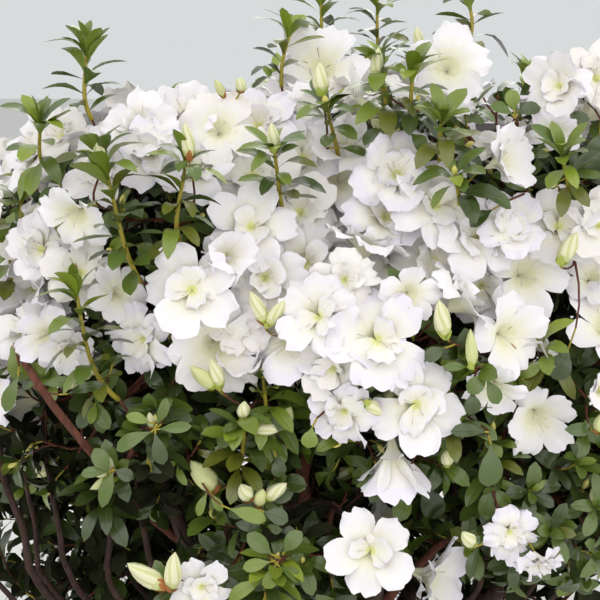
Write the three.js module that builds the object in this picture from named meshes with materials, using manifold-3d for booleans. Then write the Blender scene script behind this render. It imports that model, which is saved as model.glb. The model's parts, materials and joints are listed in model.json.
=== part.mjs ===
// An evergreen azalea shrub in flower: a short flared stump, a ring of leaning stems, side boughs,
// leafy masses that close into one broad crown, and the upright young shoots that stand above it.
// Millimetres, +Z up. The origin is the middle of the flat cut at ground level; the front faces -Y.
import * as THREE from "three";
import { mergeVertices } from "three/addons/utils/BufferGeometryUtils.js";
import Module from "manifold-3d";

// Clearance that touching pieces keep.
const GAP = 0.3;

// The stump, from the ground to its fork.
const STUMP_HEIGHT = 88;
const STUMP_WAIST = 41;
const STUMP_WAIST_HEIGHT = 44;
const STUMP_FORK_RADIUS = 49;
const ROOT_FLARE = 21;
const ROOT_FLARE_HEIGHT = 40;
const ROOT_LOBES = 5;
const ROOT_LOBE_DEPTH = 0.1;
const STUMP_LEAN = [-0.1, -0.04];
const STUMP_SIDES = 25;
const STUMP_STEPS = 7;

// The limbs. A stem starts inside the stump, a bough on the axis of the stem that bears it.
const OUTER_STEMS = 7;
const OUTER_RING = 33;
const OUTER_STEM_RADIUS = [10.5, 6];
const OUTER_STEM_BENDS = [
  [0.36, 0.19],
  [0.8, 0.56],
];
const INNER_STEMS = 3;
const INNER_RING = 12;
const INNER_STEM_RADIUS = [8.5, 5.5];
const INNER_STEM_BENDS = [
  [0.16, 0.24],
  [0.6, 0.6],
];
const STEM_FOOT_HEIGHT = 62;
const BOUGH_RADIUS = [5.6, 3.6];
const LIMB_SIDES = 6;
const STEM_STEPS = 7;
const BOUGH_STEPS = 4;
const STEM_SWAY = 6;
// How far along its stem a bough for each ring of masses forks off, and the step to the next one.
const BRANCHING = { skirt: 0.34, middle: 0.42, upper: 0.46, top: 0.5 };
const FORK_STEP = 0.1;

// The crown: one mass in the middle of the top, and three rings of masses below it.
// Angles run in degrees from the front round to the right.
const MASS_DETAIL = 3;
const MASS_UNEVEN = 0.13;
const MASS_UNDERSIDE = 0.72;
const LEFT_SHOULDER_DROP = 105;
const LEFT_SHOULDER_START = 0;
const LEFT_SHOULDER_END = -420;
const RINGS = [
  { name: "top", count: 1, start: 0, across: 0, deep: 0, height: 690, size: [175, 160, 112] },
  { name: "upper", count: 6, start: 28, across: 246, deep: 202, height: 638, size: [168, 158, 142] },
  { name: "middle", count: 8, start: 6, across: 312, deep: 264, height: 492, size: [146, 128, 140] },
  { name: "skirt", count: 7, start: 345, across: 276, deep: 236, height: 356, size: [124, 112, 112] },
];
// The skirt is open where the bare stems show, at the front left.
const BARE_ANGLE = 294;
const BARE_WIDTH = 30;

// Young shoots that stand clear above the crown: where each tip is, and how far its foot lies
// below it. The first ones stand in front; the last row is a loop round the back and the sides.
const SHOOT_LENGTH = 150;
const SHOOT_STEM = 4;
const SHOOT_LEAF_RADIUS = 25;
const SHOOT_SIDES = 7;
const FRONT_SHOOTS = [
  { tip: [-248, -250, 822], lean: [6, -12] },
  { tip: [-292, -215, 745], lean: [4, -6] },
  { tip: [-65, -160, 842], lean: [-12, -10] },
  { tip: [-34, -92, 876], lean: [4, 6] },
  { tip: [24, -80, 884], lean: [3, -14] },
  { tip: [113, -118, 872], lean: [-4, -12] },
];
const BACK_SHOOTS = 6;
const BACK_SHOOT_START = 78;
const BACK_SHOOT_STEP = 41;
const BACK_SHOOT_ACROSS = 236;
const BACK_SHOOT_DEEP = 196;
const BACK_SHOOT_TIP = 812;

const BARK = 0x4b352d;
const YOUNG_BARK = 0x6b4433;
const BLOSSOM_AND_LEAF = 0xe7e8dc;
const LEAF = 0x46602f;
const YOUNG_LEAF = 0x7d8f3a;

const wasm = await Module();
wasm.setup();

// A closed geometry as a solid that can be joined and cut.
function solidOf(geometry) {
  const bare = geometry.clone();
  bare.deleteAttribute("normal");
  bare.deleteAttribute("uv");
  const merged = mergeVertices(bare, 1e-3);
  const vertProperties = new Float32Array(merged.attributes.position.array);
  const triVerts = new Uint32Array(merged.index.array);
  return new wasm.Manifold(new wasm.Mesh({ numProp: 3, vertProperties, triVerts }));
}

function geometryOf(solid) {
  const mesh = solid.getMesh();
  const geometry = new THREE.BufferGeometry();
  geometry.setAttribute("position", new THREE.BufferAttribute(mesh.vertProperties, 3));
  geometry.setIndex(new THREE.BufferAttribute(mesh.triVerts, 1));
  geometry.computeVertexNormals();
  return geometry;
}

// The piece of a cut solid that lies nearest to a point.
function pieceAt(solid, point) {
  const distance = (piece) => {
    const { vertProperties, numProp } = piece.getMesh();
    let least = Infinity;
    for (let i = 0; i < vertProperties.length; i += numProp) {
      least = Math.min(least, point.distanceTo(new THREE.Vector3().fromArray(vertProperties, i)));
    }
    return least;
  };
  return solid.decompose().sort((a, b) => distance(a) - distance(b))[0];
}

// A repeatable stream of numbers from 0 to 1.
function stream(seed) {
  let state = seed >>> 0;
  return () => {
    state = (Math.imul(state, 1664525) + 1013904223) >>> 0;
    return state / 2 ** 32;
  };
}

const smooth = (value) => THREE.MathUtils.smoothstep(value, 0, 1);

// A point at an angle from the front on an upright ellipse.
function onRing(angle, across, deep, height) {
  const turn = THREE.MathUtils.degToRad(angle);
  return new THREE.Vector3(across * Math.sin(turn), -deep * Math.cos(turn), height);
}

// How far the crown's left shoulder hangs below its top.
function shoulderDrop(x) {
  const along = (LEFT_SHOULDER_START - x) / (LEFT_SHOULDER_START - LEFT_SHOULDER_END);
  return LEFT_SHOULDER_DROP * smooth(along);
}

function stumpRadius(height, turn) {
  const flare = ROOT_FLARE * Math.max(0, 1 - height / ROOT_FLARE_HEIGHT) ** 2;
  const lobes = 1 + (ROOT_LOBE_DEPTH * flare * Math.sin(ROOT_LOBES * turn)) / ROOT_FLARE;
  const swell = smooth((height - STUMP_WAIST_HEIGHT) / (STUMP_HEIGHT - STUMP_WAIST_HEIGHT));
  const dome = Math.sqrt(1 - 0.5 * Math.max(0, height / STUMP_HEIGHT - 0.7) / 0.3);
  const trunk = STUMP_WAIST + swell * (STUMP_FORK_RADIUS - STUMP_WAIST);
  return (trunk * dome + flare) * lobes;
}

// The stump, made larger all round by grow.
function stump(grow = 0) {
  const height = STUMP_HEIGHT + grow;
  const geometry = new THREE.CylinderGeometry(1, 1, height, STUMP_SIDES, STUMP_STEPS);
  geometry.rotateX(Math.PI / 2);
  geometry.translate(0, 0, height / 2);
  const at = geometry.attributes.position;
  for (let i = 0; i < at.count; i++) {
    const z = at.getZ(i);
    const turn = Math.atan2(at.getY(i), at.getX(i));
    const out = Math.hypot(at.getX(i), at.getY(i)) * (stumpRadius(z, turn) + grow);
    const x = out * Math.cos(turn) + STUMP_LEAN[0] * z;
    at.setXYZ(i, x, out * Math.sin(turn) + STUMP_LEAN[1] * z, z);
  }
  return solidOf(geometry);
}

// A round limb along a path that tapers from its foot to its tip.
function limb(path, [foot, tip], steps, grow = 0) {
  const section = new THREE.Shape();
  for (let side = 0; side < LIMB_SIDES; side++) {
    const turn = (2 * Math.PI * side) / LIMB_SIDES;
    const corner = [foot * Math.cos(turn), foot * Math.sin(turn)];
    if (side) section.lineTo(...corner);
    else section.moveTo(...corner);
  }
  const geometry = new THREE.ExtrudeGeometry(section, { extrudePath: path, steps });
  const stations = path.getSpacedPoints(steps);
  const at = geometry.attributes.position;
  const corner = new THREE.Vector3();
  for (let i = 0; i < at.count; i++) {
    corner.fromBufferAttribute(at, i);
    const gaps = stations.map((station) => station.distanceTo(corner));
    const nearest = gaps.indexOf(Math.min(...gaps));
    const radius = THREE.MathUtils.lerp(foot, tip, nearest / steps) + grow;
    corner.sub(stations[nearest]).multiplyScalar(radius / foot).add(stations[nearest]);
    at.setXYZ(i, ...corner);
  }
  return solidOf(geometry);
}

// The masses of every ring, each with its own centre, size and seed.
function placeMasses() {
  const masses = [];
  RINGS.forEach((ring, row) => {
    for (let step = 0; step < ring.count; step++) {
      const angle = (ring.start + (360 * step) / ring.count) % 360;
      if (ring.name === "skirt" && Math.abs(angle - BARE_ANGLE) < BARE_WIDTH / 2) continue;
      const roll = stream(97 * row + 13 * step + 5);
      const centre = onRing(angle, ring.across, ring.deep, ring.height);
      centre.x += 22 * (roll() - 0.5);
      centre.y += 18 * (roll() - 0.5);
      centre.z += 24 * (roll() - 0.5) - shoulderDrop(centre.x);
      const size = ring.size.map((radius) => radius * (0.95 + 0.12 * roll()));
      const name = ring.count > 1 ? `foliage_${ring.name}_${step + 1}` : `foliage_${ring.name}`;
      masses.push({ name, ring: ring.name, angle, centre, size, roll });
    }
  });
  return masses;
}

// The plane that parts two masses, as a direction and a distance from the first one's centre.
function border(mass, other) {
  const across = other.centre.clone().sub(mass.centre);
  const length = across.length();
  const own = Math.cbrt(mass.size[0] * mass.size[1] * mass.size[2]);
  const others = Math.cbrt(other.size[0] * other.size[1] * other.size[2]);
  const distance = (length ** 2 + own ** 2 - others ** 2) / (2 * length) - GAP;
  return { normal: across.divideScalar(length), distance };
}

// An uneven rounded mass that stops short of its neighbours, made larger all round by grow.
function leafMass(mass, masses, swellings, grow = 0) {
  const borders = masses.filter((other) => other !== mass).map((other) => border(mass, other));
  const geometry = new THREE.IcosahedronGeometry(1, MASS_DETAIL);
  geometry.deleteAttribute("normal");
  geometry.deleteAttribute("uv");
  const at = geometry.attributes.position;
  const out = new THREE.Vector3();
  for (let i = 0; i < at.count; i++) {
    out.fromBufferAttribute(at, i).normalize();
    const below = out.z < 0 ? MASS_UNDERSIDE : 1;
    const tall = mass.size[2] * below;
    let reach = 1 / Math.hypot(out.x / mass.size[0], out.y / mass.size[1], out.z / tall);
    for (const { toward, phase, rate } of swellings) {
      reach *= 1 + (MASS_UNEVEN / Math.sqrt(rate)) * Math.sin(rate * out.dot(toward) + phase);
    }
    for (const { normal, distance } of borders) {
      const facing = out.dot(normal);
      if (facing > 0) reach = Math.min(reach, distance / facing);
    }
    out.multiplyScalar(reach + grow).add(mass.centre);
    at.setXYZ(i, ...out);
  }
  return solidOf(geometry);
}

// The swellings that give a mass its own outline.
function swellingsOf(mass) {
  return [2.1, 3.4, 5.2].map((rate) => {
    const toward = new THREE.Vector3(mass.roll() - 0.5, mass.roll() - 0.5, mass.roll() - 0.5);
    return { toward: toward.normalize(), phase: 2 * Math.PI * mass.roll(), rate };
  });
}

// A stem's path into the middle of a mass. Each bend says how far out and how far up it lies
// on the way, so an outer stem spreads low and then climbs.
function stemPath(foot, target, bends, roll) {
  const span = target.clone().sub(foot);
  const sway = () => STEM_SWAY * (roll() - 0.5) * 2;
  const turns = bends.map(([out, up]) => {
    const step = new THREE.Vector3(span.x * out, span.y * out, span.z * up);
    return foot.clone().add(step).add(new THREE.Vector3(sway(), sway(), sway()));
  });
  return new THREE.CatmullRomCurve3([foot, ...turns, target]);
}

// A side bough's path: it starts along the stem that bears it, then turns to its own mass.
function boughPath(stem, along, target) {
  const foot = stem.getPointAt(along);
  const lead = stem.getTangentAt(along);
  const reach = foot.distanceTo(target);
  const turn = foot.clone().lerp(target, 0.3).add(lead.multiplyScalar(reach * 0.14));
  return new THREE.CatmullRomCurve3([foot, turn, target]);
}

// A leafy shoot: a thin stem with a spindle of leaves round its upper part.
function shoot(tip, lean) {
  const foot = new THREE.Vector3(tip[0] + lean[0], tip[1] + lean[1], tip[2] - SHOOT_LENGTH);
  const span = new THREE.Vector3(...tip).sub(foot);
  const length = span.length();
  const profile = [
    [0, 0],
    [SHOOT_STEM, 0],
    [SHOOT_STEM, length * 0.34],
    [SHOOT_LEAF_RADIUS * 0.86, length * 0.5],
    [SHOOT_LEAF_RADIUS, length * 0.76],
    [SHOOT_LEAF_RADIUS * 0.55, length * 0.93],
    [0, length],
  ].map(([out, up]) => new THREE.Vector2(out, up));
  const geometry = new THREE.LatheGeometry(profile, SHOOT_SIDES);
  const upright = new THREE.Vector3(0, 1, 0);
  geometry.applyQuaternion(new THREE.Quaternion().setFromUnitVectors(upright, span.normalize()));
  geometry.translate(...foot);
  return { solid: solidOf(geometry), foot, tip: new THREE.Vector3(...tip) };
}

const shrub = new THREE.Group();

function addMesh(name, solid, color, roughness) {
  const material = new THREE.MeshStandardMaterial({ color, roughness, metalness: 0 });
  const mesh = new THREE.Mesh(geometryOf(solid), material);
  mesh.name = name;
  shrub.add(mesh);
}

// The masses come first, because every limb ends where it enters one.
const masses = placeMasses();
const grownMasses = masses.map((mass) => {
  const swellings = swellingsOf(mass);
  const solid = leafMass(mass, masses, swellings);
  const flowery = mass.ring === "skirt" ? LEAF : BLOSSOM_AND_LEAF;
  addMesh(mass.name, solid, flowery, 0.7);
  return leafMass(mass, masses, swellings, GAP * 1.6);
});
const allMasses = wasm.Manifold.union(grownMasses);

addMesh("trunk", stump(), BARK, 0.9);
const grownStump = stump(GAP);

// Each outer stem takes a mass of the middle ring, each inner one a mass of the upper ring.
const taken = new Set();
const stems = [];

function nearestMass(ring, angle) {
  const apart = (mass) => Math.abs(((mass.angle - angle + 540) % 360) - 180);
  const free = masses.filter((mass) => mass.ring === ring && !taken.has(mass));
  return free.sort((a, b) => apart(a) - apart(b))[0];
}

function addStem(name, ring, angle, ringRadius, radii, bends) {
  const mass = nearestMass(ring, angle);
  taken.add(mass);
  const foot = onRing(mass.angle, ringRadius, ringRadius, STEM_FOOT_HEIGHT);
  foot.x += STUMP_LEAN[0] * STEM_FOOT_HEIGHT;
  foot.y += STUMP_LEAN[1] * STEM_FOOT_HEIGHT;
  const path = stemPath(foot, mass.centre, bends, mass.roll);
  const cut = limb(path, radii, STEM_STEPS).subtract(grownStump).subtract(allMasses);
  addMesh(name, pieceAt(cut, foot), BARK, 0.85);
  const grown = limb(path, radii, STEM_STEPS, GAP);
  stems.push({ path, grown, inner: ring === "upper", borne: 0 });
}

for (let step = 0; step < OUTER_STEMS; step++) {
  const angle = RINGS[2].start + (360 * step) / OUTER_STEMS;
  addStem(`stem_${step + 1}`, "middle", angle, OUTER_RING, OUTER_STEM_RADIUS, OUTER_STEM_BENDS);
}
for (let step = 0; step < INNER_STEMS; step++) {
  const angle = RINGS[1].start + (360 * step) / INNER_STEMS;
  const name = `inner_stem_${step + 1}`;
  addStem(name, "upper", angle, INNER_RING, INNER_STEM_RADIUS, INNER_STEM_BENDS);
}

// Every mass that no stem enters gets a bough from the stem that passes nearest.
let boughs = 0;
for (const mass of masses.filter((each) => !taken.has(each))) {
  const inside = mass.ring === "upper" || mass.ring === "top";
  const bearers = stems.filter((stem) => stem.inner === inside);
  const forkOf = (stem) => BRANCHING[mass.ring] + FORK_STEP * stem.borne;
  const reach = (stem) => stem.path.getPointAt(forkOf(stem)).distanceTo(mass.centre);
  const stem = bearers.sort((a, b) => reach(a) - reach(b))[0];
  const path = boughPath(stem.path, forkOf(stem), mass.centre);
  stem.borne += 1;
  const foot = path.getPointAt(0);
  const cut = limb(path, BOUGH_RADIUS, BOUGH_STEPS).subtract(stem.grown).subtract(allMasses);
  boughs += 1;
  addMesh(`bough_${boughs}`, pieceAt(cut, foot), YOUNG_BARK, 0.8);
}

// The shoots stand on the masses under them.
const tall = FRONT_SHOOTS.map(({ tip, lean }) => shoot(tip, lean));
for (let step = 0; step < BACK_SHOOTS; step++) {
  const angle = BACK_SHOOT_START + BACK_SHOOT_STEP * step;
  const roll = stream(31 * step + 7);
  const spot = onRing(angle, BACK_SHOOT_ACROSS, BACK_SHOOT_DEEP, BACK_SHOOT_TIP);
  spot.z += 40 * (roll() - 0.5) - 0.8 * shoulderDrop(spot.x);
  tall.push(shoot(spot.toArray(), [24 * (roll() - 0.5), 24 * (roll() - 0.5)]));
}
tall.forEach(({ solid, tip }, index) => {
  addMesh(`shoot_${index + 1}`, pieceAt(solid.subtract(allMasses), tip), YOUNG_LEAF, 0.6);
});

export default shrub;
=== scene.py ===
import json
import math
from collections import defaultdict, namedtuple

import bmesh
import bpy
import numpy as np
from bpy.props import FloatProperty, FloatVectorProperty, PointerProperty
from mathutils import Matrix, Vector, noise
from mathutils.bvhtree import BVHTree

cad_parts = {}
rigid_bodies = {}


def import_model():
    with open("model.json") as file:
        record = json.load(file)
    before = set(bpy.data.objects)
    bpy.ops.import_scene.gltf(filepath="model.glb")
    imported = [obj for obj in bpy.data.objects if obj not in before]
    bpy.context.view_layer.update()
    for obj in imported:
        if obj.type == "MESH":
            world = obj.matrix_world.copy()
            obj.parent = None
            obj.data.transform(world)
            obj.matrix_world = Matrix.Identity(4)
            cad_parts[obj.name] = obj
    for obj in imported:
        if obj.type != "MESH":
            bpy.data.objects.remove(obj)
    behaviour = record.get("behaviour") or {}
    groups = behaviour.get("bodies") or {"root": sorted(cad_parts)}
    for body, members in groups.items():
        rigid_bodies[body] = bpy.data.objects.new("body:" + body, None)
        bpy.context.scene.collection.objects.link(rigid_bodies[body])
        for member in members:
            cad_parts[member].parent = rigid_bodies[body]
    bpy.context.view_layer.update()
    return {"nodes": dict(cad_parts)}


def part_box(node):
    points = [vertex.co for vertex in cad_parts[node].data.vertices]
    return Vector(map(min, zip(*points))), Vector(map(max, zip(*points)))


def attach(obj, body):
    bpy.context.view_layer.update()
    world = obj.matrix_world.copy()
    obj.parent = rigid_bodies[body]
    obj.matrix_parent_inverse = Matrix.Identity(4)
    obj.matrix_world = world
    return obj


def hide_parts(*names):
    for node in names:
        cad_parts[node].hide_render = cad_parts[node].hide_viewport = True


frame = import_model()

bl_info = {
    "name": "Azalea Shrub",
    "version": (1, 0, 0),
    "blender": (4, 5, 0),
    "location": "View3D > Sidebar > Azalea",
    "description": "Grows a white azalea shrub on its packed frame",
    "category": "Object",
}

# The photograph's frame: its side in pixels, and what it spans at the point that is aimed at.
PHOTO_SIDE = 600
PHOTO_SPAN = 0.5
SENSOR = 36.0
CAMERA_TILT = math.radians(9)
CAMERA_AIM = np.array([-0.055, -0.38, 0.58])
CAMERA_DISTANCE = 1.15
LOOK = np.array([0.0, math.cos(CAMERA_TILT), -math.sin(CAMERA_TILT)])
LOOK_UP = np.array([0.0, math.sin(CAMERA_TILT), math.cos(CAMERA_TILT)])
LOOK_RIGHT = np.array([1.0, 0.0, 0.0])
CAMERA_AT = CAMERA_AIM - LOOK * CAMERA_DISTANCE

UP = np.array([0.0, 0.0, 1.0])
CROWN_MIDDLE = np.array([0.0, 0.0, 0.5])
GOLDEN_ANGLE = math.pi * (3 - math.sqrt(5))
MOST_TRIANGLES = 190000
# From one point of a limb or a twig to the next.
TWIG_STEP = 0.012
BLOOM_WIDTH = 0.078
# How far a bloom's face lies before its root, as a share of its width.
FACE_AHEAD = 0.2
# A bare limb's depths beyond this one are told from the crown's surface.
FROM_SURFACE = -0.038
# How far to the front a bloom or a shoot may be rooted.
FRONT = -0.354
# The photograph with a margin round it: left, right, top and bottom in pixels.
PHOTO_WINDOW = (-30, 630, -10, 610)
# How far the front half of the crown reaches from the camera.
FRONT_HALF = 1.42

# How many directions the crown is felt from, and how many spots are tried in its core.
CROWN_TRIES = 9000
CORE_TRIES = 12000
# The core: two corners, half its width and depth, and its reach by height, before and behind.
CORE_BOX = ((-0.44, -0.33, 0.05), (0.42, 0.35, 0.66))
CORE_HALF = (0.42, 0.34)
CORE_REACH = ((0.1, 0.17, 0.22, 0.3, 0.5, 0.66), (0.4, 0.8, 0.98, 1.0, 0.88, 0.6))
CORE_REACH_BEHIND = ((0.05, 0.1, 0.3), (0.8, 0.92, 1.04))
# The depths from which a spray counts as no longer shallow, as deep and as deepest; past each, its
# leaves get darker painted shade.
SHALLOW, DEEP, DEEPEST = 0.02, 0.05, 0.09
# The layers of sprays: how deep they lie, and how far they keep from each other and from blooms.
SPRAY_LAYERS = ((0.004, 0.038, 0.031), (0.03, 0.043, 0.0), (0.07, 0.055, 0.0))

# A bloom in the photograph: its middle and width in pixels, and how far it faces right and up.
Bloom = namedtuple("Bloom", "across down width right up kind")
PHOTO_BLOOMS = [Bloom(*row) for row in (
    (321, 76, 104, 0.02, 0.42, "single"), (447, 76, 78, -0.12, 0.1, "single"),
    (556, 92, 70, -0.45, 0.05, "open"), (550, 134, 54, -0.2, -0.75, "single"),
    (592, 84, 76, 0.0, 0.15, "open"), (494, 166, 76, 0.72, 0.3, "bell"),
    (30, 162, 56, -0.55, -0.25, "bell"), (68, 140, 62, -0.25, 0.3, "open"),
    (102, 172, 74, -0.2, 0.05, "open"), (140, 138, 80, 0.0, 0.4, "open"),
    (187, 122, 66, -0.2, 0.5, "open"), (150, 158, 78, 0.1, 0.1, "open"),
    (219, 134, 80, 0.05, 0.3, "single"), (258, 130, 78, 0.0, 0.35, "open"),
    (252, 178, 92, -0.05, 0.1, "open"), (300, 118, 70, 0.1, 0.4, "open"),
    (302, 160, 82, 0.05, 0.3, "open"), (346, 152, 72, 0.1, 0.6, "single"),
    (398, 176, 92, 0.05, 0.2, "open"), (82, 216, 74, -0.3, -0.55, "single"),
    (48, 248, 72, -0.2, 0.2, "open"), (86, 270, 78, 0.1, 0.15, "open"),
    (36, 286, 74, -0.2, 0.1, "open"), (120, 290, 60, 0.3, 0.1, "single"),
    (54, 338, 62, -0.1, -0.35, "single"), (72, 350, 56, 0.25, -0.5, "open"),
    (192, 288, 96, 0.0, 0.08, "open"), (140, 345, 76, -0.5, -0.3, "spent"),
    (215, 340, 104, 0.18, -0.3, "single"), (249, 228, 90, -0.05, 0.1, "open"),
    (298, 214, 86, 0.05, 0.2, "open"), (302, 262, 88, 0.05, 0.05, "open"),
    (262, 276, 84, 0.0, 0.05, "open"), (343, 204, 82, 0.0, 0.25, "single"),
    (356, 242, 98, 0.0, 0.12, "open"), (388, 216, 84, 0.1, 0.2, "open"),
    (436, 206, 88, 0.1, 0.2, "open"), (434, 258, 98, -0.05, -0.1, "open"),
    (400, 256, 80, -0.1, 0.05, "single"), (476, 236, 90, 0.1, 0.1, "open"),
    (522, 272, 88, 0.2, -0.02, "single"), (480, 282, 76, 0.0, -0.2, "open"),
    (508, 226, 70, 0.2, 0.2, "open"), (320, 316, 84, -0.2, 0.05, "open"),
    (378, 340, 104, 0.05, 0.05, "open"), (334, 368, 70, -0.35, -0.2, "open"),
    (500, 338, 84, 0.4, -0.1, "single"), (415, 402, 96, 0.05, -0.1, "open"),
    (346, 416, 74, -0.3, -0.35, "spent"), (540, 414, 76, 0.05, -0.4, "single"),
    (494, 390, 60, -0.1, -0.6, "single"), (395, 458, 94, 0.04, -0.97, "trumpet"),
    (367, 550, 85, -0.05, 0.06, "open"), (424, 562, 92, 0.88, -0.22, "flare"),
    (510, 530, 58, 0.15, -0.2, "spent"), (540, 564, 50, 0.2, -0.75, "spent"),
    (205, 582, 60, 0.15, -0.1, "open"), (556, 224, 84, 0.0, 0.2, "open"),
    (345, 284, 66, 0.0, -0.05, "open"), (408, 296, 62, 0.1, -0.15, "single"),
    (238, 318, 62, -0.1, -0.1, "open"), (594, 224, 80, 0.1, 0.15, "open"),
    (344, 180, 72, 0.0, 0.15, "single"), (592, 284, 60, 0.1, 0.1, "single"),
    (594, 388, 60, 0.3, 0.1, "bell"),
)]

# A closed flower bud in the photograph: its root and its tip in pixels.
Bud = namedtuple("Bud", "across down tip_across tip_down thick")
PHOTO_BUDS = [Bud(*row) for row in (
    (322, 95, 319, 63, 16), (340, 93, 366, 83, 8), (376, 78, 376, 47, 13), (419, 49, 418, 26, 11),
    (224, 97, 215, 79, 9), (240, 92, 244, 77, 12), (274, 152, 273, 122, 13),
    (189, 160, 188, 122, 14), (101, 165, 98, 137, 12), (265, 324, 251, 290, 14),
    (266, 326, 287, 300, 14), (446, 338, 437, 300, 17), (215, 388, 190, 366, 15),
    (220, 388, 214, 358, 14), (243, 418, 243, 402, 13), (281, 428, 289, 406, 16),
    (256, 424, 275, 436, 15), (216, 491, 191, 460, 21), (250, 500, 240, 484, 16),
    (259, 506, 260, 488, 13), (266, 500, 286, 481, 14), (165, 588, 127, 562, 19),
    (170, 590, 178, 553, 18), (152, 428, 150, 412, 8), (112, 470, 107, 455, 8),
    (560, 264, 578, 232, 17), (472, 368, 471, 330, 12), (448, 466, 446, 450, 12),
    (474, 546, 462, 532, 14), (556, 184, 545, 178, 14), (596, 432, 610, 412, 14),
    (366, 402, 383, 414, 13),
)]

# The slots of the leaves, by colour. The last is painted shade: a near-black green for leaves deep
# in the crown.
# The blue-green slot is partly painted reflection: a blue-grey sky sheen, dealt by chance and to
# some listed leaves.
DARK, MID, BLUE_PAINTED_REFLECTION, FRESH, YOUNG, OLIVE, PAINTED_SHADE = range(7)

# A leaf that stands out in the photograph: its root and its tip, half its width, and its colour.
Leaf = namedtuple("Leaf", "across down tip_across tip_down half tint")
PHOTO_LEAVES = [Leaf(*row) for row in (
    (11, 348, 27, 380, 13, FRESH), (18, 377, 4, 412, 8, MID), (43, 384, 74, 381, 6, MID),
    (68, 394, 103, 384, 6, DARK), (109, 472, 95, 450, 9, MID), (109, 471, 81, 474, 6, MID),
    (113, 472, 102, 503, 7, MID), (115, 470, 133, 478, 7, DARK), (151, 432, 115, 449, 8, MID),
    (160, 429, 191, 426, 6, MID), (157, 424, 167, 400, 6, MID), (150, 423, 127, 415, 6, FRESH),
    (155, 434, 163, 465, 8, DARK), (238, 422, 218, 447, 9, MID), (276, 457, 280, 477, 8, DARK),
    (230, 509, 266, 520, 8, FRESH), (264, 512, 288, 520, 9, DARK), (207, 493, 197, 516, 5, FRESH),
    (211, 494, 222, 511, 5, FRESH), (271, 554, 248, 534, 9, MID), (284, 552, 300, 532, 9, MID),
    (270, 562, 243, 568, 7, FRESH), (275, 566, 266, 589, 8, FRESH), (280, 567, 301, 580, 8, MID),
    (262, 581, 228, 598, 8, FRESH), (312, 428, 308, 448, 9, FRESH), (407, 482, 399, 523, 10, MID),
    (423, 484, 438, 519, 13, DARK), (491, 445, 488, 487, 13, BLUE_PAINTED_REFLECTION), (485, 432, 452, 430, 8, DARK),
    (489, 486, 486, 520, 9, MID), (495, 488, 509, 507, 7, MID), (487, 376, 468, 392, 9, MID),
    (487, 380, 499, 404, 8, MID), (472, 392, 472, 415, 9, DARK), (445, 348, 425, 359, 8, DARK),
    (467, 367, 444, 367, 5, MID), (568, 350, 554, 379, 13, DARK), (473, 189, 512, 207, 9, BLUE_PAINTED_REFLECTION),
    (492, 210, 470, 226, 8, DARK), (411, 113, 389, 126, 10, MID), (411, 134, 425, 150, 9, MID),
    (332, 143, 316, 155, 9, MID), (342, 148, 368, 153, 5, MID), (600, 134, 588, 158, 7, DARK),
    (512, 114, 492, 104, 8, MID), (514, 110, 511, 90, 8, FRESH), (518, 114, 540, 106, 8, DARK),
)]

# An upright leafy shoot in front of the crown: its tip and foot in pixels, and its tip's kind.
Shoot = namedtuple("Shoot", "across down foot_across foot_down kind")
PHOTO_SHOOTS = [Shoot(*row) for row in (
    (101, 152, 141, 282, "bud"), (40, 128, 52, 172, "leafy"), (186, 160, 180, 243, "bud"),
    (274, 148, 283, 214, "bud"), (327, 108, 341, 170, "small"), (77, 296, 119, 400, "leafy"),
    (263, 378, 268, 424, "small"), (154, 428, 150, 470, "small"), (112, 472, 112, 512, "small"),
    (381, 66, 382, 130, "leafy"), (413, 74, 412, 130, "leafy"), (441, 124, 440, 165, "leafy"),
    (276, 562, 266, 600, "small"), (492, 432, 486, 478, "small"), (8, 252, 18, 296, "leafy"),
    (536, 338, 552, 366, "leafy"), (450, 384, 450, 430, "leafy"), (562, 156, 566, 196, "leafy"),
    (243, 424, 238, 470, "small"), (455, 176, 458, 212, "small"), (20, 200, 28, 250, "leafy"),
)]

# Leafy pockets between the blossom in the photograph: the middle and the radius in pixels.
LEAFY_POCKETS = (
    (20, 196, 44), (125, 225, 36), (150, 222, 32), (205, 212, 24), (398, 105, 34), (450, 132, 32),
    (565, 168, 38), (491, 205, 14), (386, 290, 8), (368, 288, 24), (450, 332, 34), (470, 392, 26),
    (565, 350, 38), (240, 330, 14), (285, 350, 14), (110, 400, 40), (60, 430, 70), (140, 480, 90),
    (240, 470, 80), (290, 420, 40), (300, 540, 70), (470, 450, 38), (545, 495, 45), (585, 470, 45),
    (590, 550, 60), (470, 500, 40), (410, 508, 40), (455, 590, 24), (30, 560, 90), (500, 120, 26),
    (185, 556, 52), (8, 366, 30), (182, 200, 24),
)
# Where the blossom stands so close that no leaf shows: middle and half width across and down.
SOLID_WHITE = (
    (385, 240, 185, 58), (255, 130, 70, 42), (150, 135, 80, 40), (60, 290, 70, 34),
    (300, 300, 60, 60), (375, 380, 60, 50), (565, 90, 50, 45),
)
# The crown's upper edge against the sky: across and down in pixels.
SKYLINE = (
    (-200, 170), (0, 150), (60, 112), (150, 96), (290, 92), (302, 52), (360, 52), (380, 70),
    (470, 78), (484, 122), (516, 122), (534, 84), (600, 66), (800, 100),
)
# Where the photograph looks in between the stems: left, right, top and bottom in pixels.
BARE_WINDOWS = ((-60, 84, 412, 700), (84, 178, 505, 700), (298, 342, 454, 536))
# Where few leaves catch the light, told by its sides in the same order; the leaves there get
# painted shade.
DIM_WINDOW = (-60, 196, 424, 700)

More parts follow.
